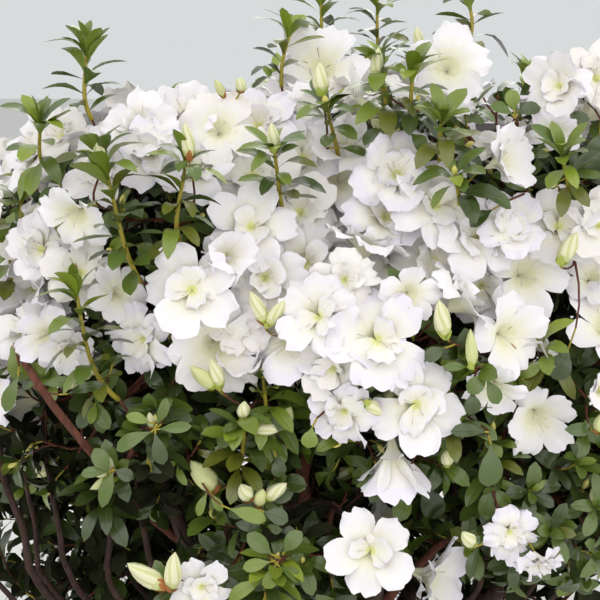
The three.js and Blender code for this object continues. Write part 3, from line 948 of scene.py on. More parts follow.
class Wire:
    """A shader socket that takes part in sums."""

    def __init__(self, paint, socket):
        self.paint = paint
        self.socket = socket

    def sum(self, operation, first, second):
        return self.paint.node("ShaderNodeMath", {"operation": operation}, {0: first, 1: second})

    def __add__(self, other):
        return self.sum("ADD", self, other)

    __radd__ = __add__

    def __sub__(self, other):
        return self.sum("SUBTRACT", self, other)

    def __rsub__(self, other):
        return self.sum("SUBTRACT", other, self)

    def __mul__(self, other):
        return self.sum("MULTIPLY", self, other)

    __rmul__ = __mul__


# The shader's sockets that take one plain number, by the names used here.
PLAIN = {
    "specular": "Specular IOR Level", "coat": "Coat Weight", "coat_roughness": "Coat Roughness",
    "sheen": "Sheen Weight", "sheen_roughness": "Sheen Roughness", "velvet": "Diffuse Roughness",
}


class Paint:
    """One procedural material and the nodes in it."""

    def __init__(self, name, colour, roughness, **plain):
        self.material = bpy.data.materials.new(name)
        self.material.use_nodes = True
        self.tree = self.material.node_tree
        self.tree.nodes.clear()
        output = self.tree.nodes.new("ShaderNodeOutputMaterial")
        self.shader = self.tree.nodes.new("ShaderNodeBsdfPrincipled")
        self.tree.links.new(self.shader.outputs[0], output.inputs[0])
        self.set(self.shader, {"Base Color": (*colour, 1.0), "Roughness": roughness})
        self.set(self.shader, {PLAIN[kind]: value for kind, value in plain.items()})
        self.material.diffuse_color = (*colour, 1.0)

    def set(self, node, inputs):
        """Gives sockets of a node their values or links."""
        for socket, value in inputs.items():
            if isinstance(value, Wire):
                self.tree.links.new(value.socket, node.inputs[socket])
            else:
                node.inputs[socket].default_value = value

    def node(self, kind, settings=None, inputs=None, output=0):
        """Makes a node of any kind: its settings first, then its sockets."""
        node = self.tree.nodes.new(kind)
        for name, value in (settings or {}).items():
            setattr(node, name, value)
        self.set(node, inputs or {})
        return Wire(self, node.outputs[output])

    def mix(self, factor, first, second):
        """A colour between two."""
        settings = {"data_type": "RGBA", "blend_type": "MIX", "clamp_factor": True}
        return self.node("ShaderNodeMix", settings, {0: factor, 6: first, 7: second}, output=2)

    def place(self, stretch=(1, 1, 1)):
        """The piece's own coordinates, stretched."""
        spot = self.node("ShaderNodeTexCoord", output=3)
        return self.node("ShaderNodeMapping", None, {"Vector": spot, "Scale": stretch})

    def noise(self, place, scale, detail=3.0, rough=0.55):
        """Soft noise over a place."""
        inputs = {"Vector": place, "Scale": scale, "Detail": detail, "Roughness": rough}
        return self.node("ShaderNodeTexNoise", None, inputs)

    def bump(self, height, strength, distance):
        """Raises the surface by a height that varies over it."""
        inputs = {"Height": height, "Strength": strength, "Distance": distance}
        self.set(self.shader, {"Normal": self.node("ShaderNodeBump", None, inputs)})


def bark_paint(name, dark, light, moss, relief):
    """Bark: streaks and flakes between two browns, with a breath of grey-green."""
    paint = Paint(name, light, 0.82, specular=0.3)
    streaks = paint.noise(paint.place((170, 170, 36)), 1.0, 5.0, 0.66)
    flakes = paint.node("ShaderNodeTexVoronoi", {"feature": "DISTANCE_TO_EDGE"},
                        {"Vector": paint.place((190, 190, 46)), "Scale": 1.0})
    patches = paint.noise(paint.place(), 26.0, 3.0)
    lit = paint.node("ShaderNodeMapRange", None, {"Value": streaks, 1: 0.34, 2: 0.66})
    base = paint.mix(lit, (*dark, 1), (*light, 1))
    grey = paint.node("ShaderNodeMapRange", None, {"Value": patches, 1: 0.52, 2: 0.72})
    paint.set(paint.shader, {"Base Color": paint.mix(grey * 0.55, base, (*moss, 1))})
    paint.bump(streaks * 0.7 + flakes * 0.6, 0.7, relief)
    return paint.material


def veined_paint(name, colour, roughness, **plain):
    """A leaf or petal in one colour, with veins that run along its own length."""
    paint = Paint(name, colour, roughness, **plain)
    parts = paint.node("ShaderNodeSeparateXYZ", None, {0: paint.node("ShaderNodeUVMap")})
    ahead = paint.node("ShaderNodeSeparateXYZ", None, {0: paint.node("ShaderNodeUVMap")}, output=1)
    out = paint.node("ShaderNodeMath", {"operation": "ABSOLUTE"}, {0: parts})
    midrib = paint.node("ShaderNodeMath", {"operation": "EXPONENT"}, {0: out * -9.0})
    ribs = paint.node("ShaderNodeMath", {"operation": "SINE"}, {0: (ahead - out * 0.4) * 40.0})
    paint.bump(ribs * 0.08 - midrib * 1.2, 0.4, 0.0007)
    return paint.material


def petal_paint(name, colour, roughness, **plain):
    """A petal: fine veins that run to its rim, over a faintly crumpled skin."""
    paint = Paint(name, colour, roughness, **plain)
    parts = paint.node("ShaderNodeSeparateXYZ", None, {0: paint.node("ShaderNodeUVMap")})
    veins = paint.node("ShaderNodeMath", {"operation": "SINE"}, {0: parts * 30.0})
    crumple = paint.noise(paint.place(), 110.0, 2.0)
    paint.bump(veins * 0.05 + crumple, 0.5, 0.0012)
    return paint.material


def petal_slots():
    """The materials of a flower, in the order of its slots."""
    colours = bpy.context.scene.azalea_colours
    white = np.array(colours.petal)
    shade, warm = np.array(colours.petal_cool), np.array(colours.petal_warm)
    throat, tube = np.array(colours.throat), np.array(colours.tube)
    soft = {"sheen": 0.3, "sheen_roughness": 0.6, "specular": 0.25, "velvet": 0.8}
    return [
        petal_paint("petal_white", white, 0.6, **soft),
        # Painted shade: the lilac-grey white of petals in shade.
        petal_paint("petal_cool_white", shade, 0.6, **soft),
        petal_paint("petal_warm_white", warm, 0.6, **soft),
        petal_paint("petal_ivory", white * 0.66 + throat * 0.34, 0.6, **soft),
        petal_paint("petal_throat", throat, 0.6, **soft),
        petal_paint("petal_tube", tube, 0.6, **soft),
        petal_paint("filament", warm, 0.5),
        petal_paint("anther", np.array(colours.anther), 0.6),
        petal_paint("petal_pale_ivory", white * 0.82 + throat * 0.18, 0.6, **soft),
        petal_paint("pale_anther", np.array(colours.anther) * 0.3 + warm * 0.65, 0.6),
        petal_paint("petal_faint_ivory", white * 0.92 + throat * 0.08, 0.6, **soft),
    ]


# The slots of a flower, in the same order.
WHITE, PAINTED_SHADE_WHITE, WARM, IVORY, THROAT, TUBE, FILAMENT, ANTHER, PALE, PALE_ANTHER, FAINT = range(11)
# The slots of a bud.
CREAM, GREEN, LIME, SCALE, YELLOW = range(5)

# How far along a petal each tint reaches. The bloom's own goes on past the tip.
PAST_TIP = 2
LOBE_TINTS = ((0.25, TUBE), (0.38, IVORY), (0.5, PALE), (0.63, FAINT))
INNER_TINTS = ((0.2, THROAT), (0.42, IVORY), (0.62, PALE), (0.78, FAINT))


def petal_points(shape, roll, length, width, rise, fall, ruffle, notch, root=0.0016):
    """The points of one petal: its root on the bloom's axis, its tip out along +X."""
    u, row = shape.uv[:, 0], shape.uv[:, 1] ** 0.85
    rim = smooth((row - 0.8) / 0.2)
    phase, rate = roll.uniform(0, math.tau), roll.uniform(0.7, 1.3)
    v = row - 0.11 * np.abs(u)**3 * row**2 - notch * np.exp(-(u / 0.3)**2) * rim
    v = v + rim * 0.022 * np.sin(math.tau * 1.3 * u + phase)
    steps = np.linspace(0, 1, 25)
    slope = rise + (fall - rise) * smooth((steps - 0.24) / 0.44)
    curl = math.radians(46) * roll.uniform(-0.35, 1.0) * min(1.0, ruffle)
    slope = slope - curl * smooth((steps - 0.6) / 0.4)
    step = length / 24
    radius = root * smooth(steps / 0.1) + 0.0002
    radius = radius + np.concatenate([[0], np.cumsum(np.cos(slope[1:]))]) * step
    height = np.concatenate([[0], np.cumsum(np.sin(slope[1:]))]) * step
    radius, height = np.interp(v, steps, radius), np.interp(v, steps, height)
    slope = np.interp(v, steps, slope)
    half = width * np.interp(row, PETAL_AT, PETAL_HALF)
    side = np.abs(u)**3 * smooth((row - 0.4) / 0.3)
    half = half * (1 + 0.05 * side * np.sin(math.tau * 1.9 * row + phase * 3))
    x = u * half
    wrap = 1 - smooth((v - 0.22) / 0.3)
    turn = np.clip(x / np.maximum(radius, 1e-4), -1.2, 1.2)
    across = (1 - wrap) * x + wrap * radius * np.sin(turn)
    out = (1 - wrap) * radius + wrap * radius * np.cos(turn)
    open_part = smooth((row - 0.35) / 0.4)
    wave = np.sin(math.tau * rate * u + phase) + 0.6 * np.sin(math.tau * 2.1 * u + 2.1 * phase)
    lift = 0.0025 * ruffle * open_part * row**2 * (0.3 + 0.7 * np.abs(u)) * wave
    lift = lift + 0.0022 * ruffle * side * np.sin(math.tau * 1.6 * row + phase * 1.7)
    lift = lift + roll.uniform(-0.2, 0.34) * half * u**2 * open_part
    lift = lift + math.tan(roll.normal(0, 0.2) * min(1.0, ruffle)) * x * open_part
    lift = lift - 0.0013 * np.exp(-(u / 0.22)**2) * smooth((row - 0.25) / 0.3)
    return np.stack([out - lift * np.sin(slope), -across, height + lift * np.cos(slope)], 1)


def turned(points, angle):
    """Points turned about the upright axis."""
    c, s = math.cos(angle), math.sin(angle)
    return points @ np.array([[c, s, 0], [-s, c, 0], [0, 0, 1]])


class Blossoms:
    """Makes flowers and buds and adds them to a heap."""

    def __init__(self):
        self.lobe = sheet_shape(10, 7)
        self.inner = sheet_shape(4, 5)
        self.thread = tube_shape(3, 5)
        self.bud = tube_shape(15, 8)
        self.plain_bud = tube_shape(10, 6)
        self.small_bud = tube_shape(6, 5)
        self.scale = sheet_shape(2, 3)
        self.lobe_rows = self.reach(self.lobe)
        self.inner_rows = self.reach(self.inner)

    def reach(self, shape):
        """How far along a petal each face lies, with the tint running further along the midrib."""
        return shape.middles[:, 1] ** 0.85 - 0.13 * (1 - shape.middles[:, 0]**2)

    def rows(self, at, marks):
        """The slot of each face by how far along the petal it lies."""
        slots = np.full(len(at), marks[-1][1])
        for mark, slot in reversed(marks[:-1]):
            slots = np.where(at < mark, slot, slots)
        return slots

    def bloom(self, heap, anchor, roll):
        """One flower: five lobes on a tube, inner petals, stamens and a style."""
        low, high, rise, inner, ruffle, deep = KINDS[anchor.kind]
        fall = math.radians(roll.uniform(low, high))
        # The painted-shade white goes by chance to some blooms, and to every spent one.
        tint = (WHITE, PAINTED_SHADE_WHITE, WARM)[roll.choice(3, p=[0.6, 0.22, 0.18])]
        if anchor.kind == "spent":
            tint = PAINTED_SHADE_WHITE
        last = (PAST_TIP, tint)
        marks = [(mark + roll.normal(0, 0.02), slot) for mark, slot in (*LOBE_TINTS, last)]
        start = roll.uniform(0, math.tau)
        lobes = self.lobes(roll, deep, math.radians(rise), fall, ruffle, start)
        parts = [(self.lobe, lobes, self.rows(self.lobe_rows, marks))]
        inner = int(roll.integers(inner - 2, inner + 1)) if inner > 2 else inner
        if inner:
            petals = self.inner_petals(roll, inner, ruffle, start + 0.6)
            slots = self.rows(self.inner_rows, (*INNER_TINTS, last))
            parts.append((self.inner, petals, slots))
        threads = self.threads(roll)
        anther = ANTHER if roll.random() < 0.12 else PALE_ANTHER
        ends = self.thread.middles[:, 2] > 0.8
        parts.append((self.thread, threads, np.where(ends, anther, FILAMENT)))
        size = anchor.size / BLOOM_WIDTH
        for shape, points, slots in parts:
            heap.add(shape, planted(points * size, anchor.at, anchor.out), slots)

    def lobes(self, roll, deep, rise, fall, ruffle, start):
        """The five outer lobes, each a little unlike the others."""
        lobes = []
        for number in range(5):
            points = petal_points(
                self.lobe, roll, 0.051 * deep * roll.uniform(0.93, 1.07),
                0.0176 * roll.uniform(0.9, 1.1), rise,
                fall + math.radians(roll.normal(0, 14)) * min(1.0, ruffle), ruffle,
                roll.uniform(0.0, 0.09))
            points[:, 2] += 0.0006 * (number % 2)
            lobes.append(turned(points, start + number * math.tau / 5 + roll.normal(0, 0.08)))
        return np.array(lobes)

    def inner_petals(self, roll, count, ruffle, start):
        """Smaller petals in the throat, the first ones the flattest."""
        petals = []
        for number in range(count):
            steep = 8 + 64 * number / count + roll.normal(0, 8)
            points = petal_points(
                self.inner, roll, 0.028 * roll.uniform(0.8, 1.2), 0.0115 * roll.uniform(0.8, 1.25),
                math.radians(66), math.radians(steep), ruffle * 1.5,
                roll.uniform(0.0, 0.08), root=0.0012)
            points[:, 2] += 0.0085
            petals.append(turned(points, start + number * GOLDEN_ANGLE + roll.normal(0, 0.3)))
        return np.array(petals)

    def threads(self, roll):
        """The style, which is the longest, and four stamens."""
        threads = []
        for number in range(5):
            lean = roll.uniform(0.08, 0.4)
            turn = roll.uniform(0, math.tau)
            way = np.array([math.cos(turn) * lean, math.sin(turn) * lean, 1])
            reach = roll.uniform(0.022, 0.03) if number else 0.037
            bow = np.array([math.cos(turn), math.sin(turn), 0]) * 0.005
            path = [np.zeros(3), way * reach * 0.5, way * reach + bow]
            threads.append(sweep(self.thread, curve_through(path, 0.006),
                                 [0.0004, 0.0003, 0.0003, 0.0003, 0.0006]))
        return np.array(threads)

    def closed_bud(self, heap, anchor, roll):
        """One pointed bud with furled petals, and scales round its foot."""
        length, half = anchor.size
        shape = self.bud if anchor.detail == 1 else self.plain_bud
        height = shape.points[:, 2]
        furl = 1 + 0.12 * np.cos(5 * shape.turn) * np.minimum(height * 4, 1)
        out = half * np.interp(height, BUD_AT, BUD_HALF) * furl
        lean = 0.09 * length * roll.normal(0, 1, 2)
        spiral = shape.turn + 1.3 * height
        points = np.stack([out * np.cos(spiral) + lean[0] * height**2,
                           out * np.sin(spiral) + lean[1] * height**2, length * height], 1)
        middle = shape.middles
        groove = np.cos(5 * np.arctan2(middle[:, 1], middle[:, 0])) < -0.75
        base = LIME if roll.random() < 0.2 else CREAM
        slots = np.where(groove | (middle[:, 2] < 0.24), LIME, base)
        slots = np.where(middle[:, 2] < 0.13, GREEN, slots)
        heap.add(shape, planted(points, anchor.at, anchor.out), slots)
        scales = []
        u, v = self.scale.uv[:, 0], self.scale.uv[:, 1]
        for number in range(3):
            wide = half * 0.6 * np.interp(v, (0, 0.5, 1), (0.7, 1, 0.08))
            out = half * np.interp(v, (0, 0.5, 1), (0.4, 0.84, 1.02)) - 0.4 * wide * u**2
            scale = np.stack([out, -u * wide, length * roll.uniform(0.16, 0.34) * v - 0.001], 1)
            scales.append(turned(scale, roll.uniform(0, 0.9) + number * math.tau / 3))
        slot = SCALE if roll.random() < 0.45 else GREEN
        heap.add(self.scale, planted(np.array(scales), anchor.at, anchor.out), slot)

    def tip_bud(self, heap, at, out, roll, length):
        """A small yellow-green bud in the middle of a whorl of leaves."""
        shape = self.small_bud
        half = length * roll.uniform(0.2, 0.26)
        height = shape.points[:, 2]
        wide = half * np.interp(height, BUD_AT, BUD_HALF)
        points = [wide * np.cos(shape.turn), wide * np.sin(shape.turn), length * height]
        heap.add(shape, planted(np.stack(points, 1), at, out), YELLOW)


# A twig as its leaves see it: its points, three directions at each of them, and its length.
Twig = namedtuple("Twig", "path lead side other length")


def twig_along(path):
    """A twig at even steps along a path."""
    path = along(path, 24)
    length = np.linalg.norm(np.diff(path, axis=0), axis=1).sum()
    return Twig(path, *frames_along(path), length)


def back_from_tip(twig, back):
    """A point some way down a twig, and the twig's three directions there."""
    i = int(round((1 - min(back / twig.length, 1)) * (len(twig.path) - 1)))
    return twig.path[i], (twig.lead[i], twig.side[i], twig.other[i])


class Leaves:
    """Gathers leaves as roots and directions, and turns them into joined pieces."""

    def __init__(self, roll):
        self.roll = roll
        self.shape = sheet_shape(2, 6)
        self.plain = sheet_shape(2, 4)
        self.rows = defaultdict(list)
        self.forms = [self.form(self.shape, fold, droop, arch) for fold, droop, arch in (
            (0.28, 0.10, 0.10), (0.2, 0.24, 0.16), (0.36, 0.02, 0.04), (0.14, 0.36, 0.22),
            (0.1, 0.16, 0.1))]
        self.forms.append(self.form(self.plain, 0.2, 0.2, 0.12))

    def form(self, shape, fold, droop, arch):
        """A leaf's points as shares of its width and length."""
        u, v = shape.uv[:, 0], shape.uv[:, 1]
        v = v + 0.34 * v * (1 - v) * (2 * v - 0.7)
        half = np.interp(v, LEAF_AT, LEAF_HALF)
        wide = fold * np.abs(u) * half - 0.05 * np.abs(u) * half * np.sin(9 * v)
        long = arch * np.sin(math.pi * v * 0.9) - droop * v**2
        return shape, u * half, v, wide, long

    def add(self, group, root, axis, top, length, width, form, slot):
        """Notes one leaf: its root, the ways that it points and looks, and its measures."""
        self.rows[group].append((root, axis, top, length, width, form, slot))

    def whorl(self, group, centre, lead, count, length, steep, tints):
        """Leaves all round one point of a twig."""
        axes = (lead, *across_of(lead))
        spin = self.roll.uniform(0, math.tau)
        for number in range(count):
            turn = spin + number * math.tau / count + self.roll.normal(0, 0.22)
            self.leaf(group, centre - lead * 0.0016 * number, axes, turn,
                      steep + self.roll.normal(0, 9), length * self.roll.uniform(0.78, 1.12), tints)

    def leaf(self, group, root, axes, turn, steep, length, tints):
        """One leaf that leaves a twig at an angle in degrees."""
        lead, side, other = axes
        on_shoot = group == "shoot_leaves"
        steep = math.radians(steep)
        radial = side * math.cos(turn) + other * math.sin(turn)
        axis = lead * math.cos(steep) + radial * math.sin(steep)
        top = lead * math.sin(steep) - radial * math.cos(steep) + UP * 0.4
        top = top + self.roll.normal(0, 0.2 if on_shoot else 0.14, 3)
        top = unit(top - axis * (top @ axis))
        share = self.roll.uniform(*((0.16, 0.22) if on_shoot else (0.2, 0.28)))
        plain = len(self.forms) - 1
        form = int(self.roll.integers(plain))
        if tints[0] == PAINTED_SHADE:
            form = plain
        self.add(group, root, axis, top, length, length * share, form,
                 tints[int(self.roll.integers(len(tints)))])

    def clear_of(self, blooms, buds):
        """Leaves out what would stick through a flower or stand before a photographed bud."""
        at = np.array([bloom.at for bloom in blooms])
        out = np.array([bloom.out for bloom in blooms])
        width = np.array([bloom.size for bloom in blooms])
        bud_at = np.array([bud.at + bud.out * bud.size[0] * 0.6 for bud in buds])
        count = len(buds)
        by_shoots = (at, out, width * 0.4, 0.018, 0.034)
        elsewhere = (
            np.vstack([at, bud_at]),
            np.vstack([out, np.tile(-LOOK, (count, 1))]),
            np.concatenate([width * 0.5, np.full(count, 0.011)]),
            np.concatenate([np.full(len(width), 0.012), np.full(count, -0.008)]),
            np.concatenate([np.maximum(width * 0.56, 0.042), np.full(count, 0.05)]),
        )
        for group, rows in self.rows.items():
            zones = by_shoots if group == "shoot_leaves" else elsewhere
            self.rows[group] = [row for row in rows if not self.enters(row, *zones)]

    def enters(self, row, at, out, reach, low, high):
        """Whether a leaf enters one of the round zones before the flowers and buds."""
        root, axis, _, length = row[:4]
        marks = root + axis * length * np.array([[[0.4]], [[0.7]], [[1.0]]])
        gap = marks - at
        ahead = np.einsum("kij,ij->ki", gap, out)
        off = np.linalg.norm(gap - ahead[..., None] * out, axis=2)
        return ((off < reach) & (ahead > low) & (ahead < high)).any()

    def clear_through(self, trees):
        """Leaves out what would stick through a petal."""
        for group, rows in self.rows.items():
            self.rows[group] = [row for row in rows if not self.pierces(row, trees)]

    def pierces(self, row, trees):
        """Whether a leaf's midrib passes through one of the surfaces."""
        root, axis, _, length = row[:4]
        start, way = Vector(root + axis * length * 0.3), Vector(axis)
        return any(tree.ray_cast(start, way, length * 0.7)[0] is not None for tree in trees)

    def heaps(self):
        """One heap for each group, split where it has too many triangles."""
        most = MOST_TRIANGLES // self.shape.triangles
        for group, rows in sorted(self.rows.items()):
            parts = -(-len(rows) // most)
            for part in range(parts):
                heap = Heap()
                for number, form in enumerate(self.forms):
                    here = [row for row in rows[part::parts] if row[5] == number]
                    if here:
                        self.lay(heap, form, here)
                yield group if parts == 1 else f"{group}_{part + 1}", group, heap

    def lay(self, heap, form, rows):
        """Adds all leaves of one form to a heap."""
        shape, x, y, wide, long = form
        root, axis, top, length, width = (
            np.array([row[i] for row in rows]).reshape(len(rows), 1, -1) for i in range(5))
        side = np.cross(axis, top)
        points = (root + axis * length * y[None, :, None] + side * width * x[None, :, None]
                  + top * (width * wide[None, :, None] + length * long[None, :, None]))
        slots = np.array([row[6] for row in rows])[:, None]
        heap.add(shape, points, np.repeat(slots, len(shape.sizes), 1))


def leaf_slots():
    """The materials of the leaves, in the order of their slots."""
    colours = bpy.context.scene.azalea_colours
    dark, mid = np.array(colours.leaf_dark), np.array(colours.leaf)
    young = np.array(colours.leaf_young)
    gloss = {"specular": 0.65, "coat": 0.45, "coat_roughness": 0.2}
    return [
        veined_paint("leaf_dark_green", dark, 0.34, **gloss),
        veined_paint("leaf_green", mid, 0.36, **gloss),
        # Partly painted reflection: a blue-green that stands in for the sky's sheen on glossy
        # leaves.
        veined_paint("leaf_blue_green", dark * 0.5 + mid * (0.5, 0.55, 0.85), 0.32, **gloss),
        veined_paint("leaf_fresh_green", mid * 0.5 + young * 0.5, 0.4, **gloss),
        veined_paint("leaf_young_green", young, 0.42, **gloss),
        veined_paint("leaf_olive", mid * (1.4, 1.0, 0.7), 0.42, **gloss),
        # Painted shade: a darker, duller copy of the leaf for leaves deep in the crown.
        veined_paint("leaf_in_the_shade", np.array(colours.leaf_shaded), 0.75, specular=0.15),
    ]


# The tints that the leaves of one twig share, how often each set comes, and how often high up.
TINT_SETS = (
    (DARK, DARK, MID), (MID, MID, DARK), (BLUE_PAINTED_REFLECTION, DARK, MID), (FRESH, MID, MID), (OLIVE, MID, DARK),
)
TINT_SHARES = (0.3, 0.3, 0.16, 0.16, 0.08)
HIGH_SHARES = (0.16, 0.28, 0.12, 0.3, 0.14)


def ring_of(mass):
    """The ring of the crown that a mass belongs to."""
    return plan().crown.names[mass].split("_")[1]


def nodes_of(*rings):
    """The foliage nodes of some rings of the crown."""
    return [name for name in plan().crown.names if name.split("_")[1] in rings]


class AZALEA_OT_wood(bpy.types.Operator):
    """Trunk, stems and boughs with the relief of their bark"""

    bl_idname = "azalea.wood"
    bl_label = "Trunk, stems and boughs"

    def execute(self, context):
        sizes, colours = context.scene.azalea_sizes, context.scene.azalea_colours
        dark, light, moss = colours.bark_dark, colours.bark, colours.bark_grey
        bark = bark_paint("bark", dark, light, moss, sizes.bark_relief)
        red = bark_paint("young_bark", tuple(0.35 * c for c in colours.bark_red), colours.bark_red,
                         light, sizes.bark_relief)
        self.make_trunk(bark, sizes.bark_relief)
        shape = tube_shape(14, 56)
        heaps = {"stem": Heap(), "bough": Heap(), "bare": Heap()}
        nodes = defaultdict(list)
        for limb in plan().limbs:
            relief = self.relief(sizes.bark_relief * (1.0 if limb.kind == "stem" else 0.55))
            radii = limb.radii
            if limb.kind != "bough":
                start = np.linspace(0, 1, len(radii)) * len(radii) * TWIG_STEP
                radii = radii * (1 + 0.4 * np.exp(-start / 0.035))
            slot = 1 if limb.name == "bare_0" else 0
            heaps[limb.kind].add(shape, sweep(shape, limb.path, radii, relief), slot)
            if limb.kind != "bare":
                nodes[limb.kind].append(limb.name)
        finish_piece(heaps["stem"].build("stems", [bark]), nodes["stem"])
        finish_piece(heaps["bough"].build("boughs", [red]), nodes["bough"])
        finish_piece(heaps["bare"].build("bare_limbs", [bark, red]))
        return {"FINISHED"}

    def relief(self, depth):
        """Ridges along a limb and knots round it."""

        def height(shape, centres, out):
            raised = []
            for centre, way, ring in zip(centres, out, shape.ring):
                spot = Vector(way * 1.6) + Vector((0, 0, ring * 0.34)) + Vector(centre * 7)
                knot = noise.noise(Vector(centre * 38 + way * 0.4))
                raised.append(depth * (1.1 * noise.noise(spot * 1.7) + 0.9 * knot))
            return np.array(raised)

        return height

    def make_trunk(self, bark, depth):
        """The stump: the frame's own trunk, made finer and given ridges and hollows."""
        bm = bmesh.new()
        bm.from_mesh(frame["nodes"]["trunk"].data)
        bmesh.ops.remove_doubles(bm, verts=bm.verts, dist=0.0002)
        bmesh.ops.subdivide_edges(bm, edges=bm.edges, cuts=3, use_grid_fill=True, smooth=0.4)
        bmesh.ops.recalc_face_normals(bm, faces=bm.faces)
        bm.normal_update()
        for vert in bm.verts:
            if vert.co.z < 0.0015:
                vert.co.z = 0
                continue
            turn = math.atan2(vert.co.y, vert.co.x)
            ridge = Vector((math.cos(turn) * 3.4, math.sin(turn) * 3.4, vert.co.z * 14))
            lump = noise.noise(vert.co * 34)
            vert.co += vert.normal * depth * (2.2 * noise.noise(ridge) + 2.0 * lump
                                              + 1.1 * noise.noise(ridge * 2.7))
            vert.co.z = max(vert.co.z, 0.0005)
        for face in bm.faces:
            face.smooth = True
        mesh = bpy.data.meshes.new("trunk_bark")
        bm.to_mesh(mesh)
        bm.free()
        mesh.materials.append(bark)
        piece = bpy.data.objects.new("trunk_bark", mesh)
        bpy.context.scene.collection.objects.link(piece)
        finish_piece(piece, ["trunk"])


# A tall shoot's radius at its foot and at its tip.
SHOOT_RADII = (0.0023, 0.0015)


class AZALEA_OT_twigs(bpy.types.Operator):
    """Twigs that grow on from the limbs to each bloom and spray"""

    bl_idname = "azalea.twigs"
    bl_label = "Twigs"

    def execute(self, context):
        sizes, colours = context.scene.azalea_sizes, context.scene.azalea_colours
        shrub = plan()
        twig = bark_paint("twig_bark", tuple(0.55 * c for c in colours.bark_red), colours.bark_red,
                          colours.bark, sizes.bark_relief * 0.4)
        green = Paint("green_twig", colours.shoot, 0.5, specular=0.4)
        green.bump(green.noise(green.place((400, 400, 60)), 1.0), 0.4, 0.0004)
        inner, outer, fine = tube_shape(6, 9), tube_shape(4, 7), tube_shape(3, 6)
        round_twig = tube_shape(8, 14)
        old, young = Heap(), Heap()
        for numbers, anchor in shrub.twigs:
            path, radii = shrub.growth.at[numbers], shrub.radii(numbers)
            if anchor is None:
                old.add(inner, sweep(inner, path, radii), 0)
                continue
            if anchor.kind == "shoot":
                radii = np.linspace(*SHOOT_RADII, len(radii))
                young.add(round_twig, sweep(round_twig, path, radii), 1)
                continue
            shape = outer if anchor.kind != "spray" or anchor.detail < SHALLOW else fine
            tips = shape.middles[:, 2] > {"spray": 0.72, "leaf": 0.9}.get(anchor.kind, 0.6)
            young.add(shape, sweep(shape, path, radii), np.where(tips, 1, 0))
        finish_piece(old.build("branches", [twig]))
        finish_piece(young.build("twigs", [twig, green.material]))
        return {"FINISHED"}


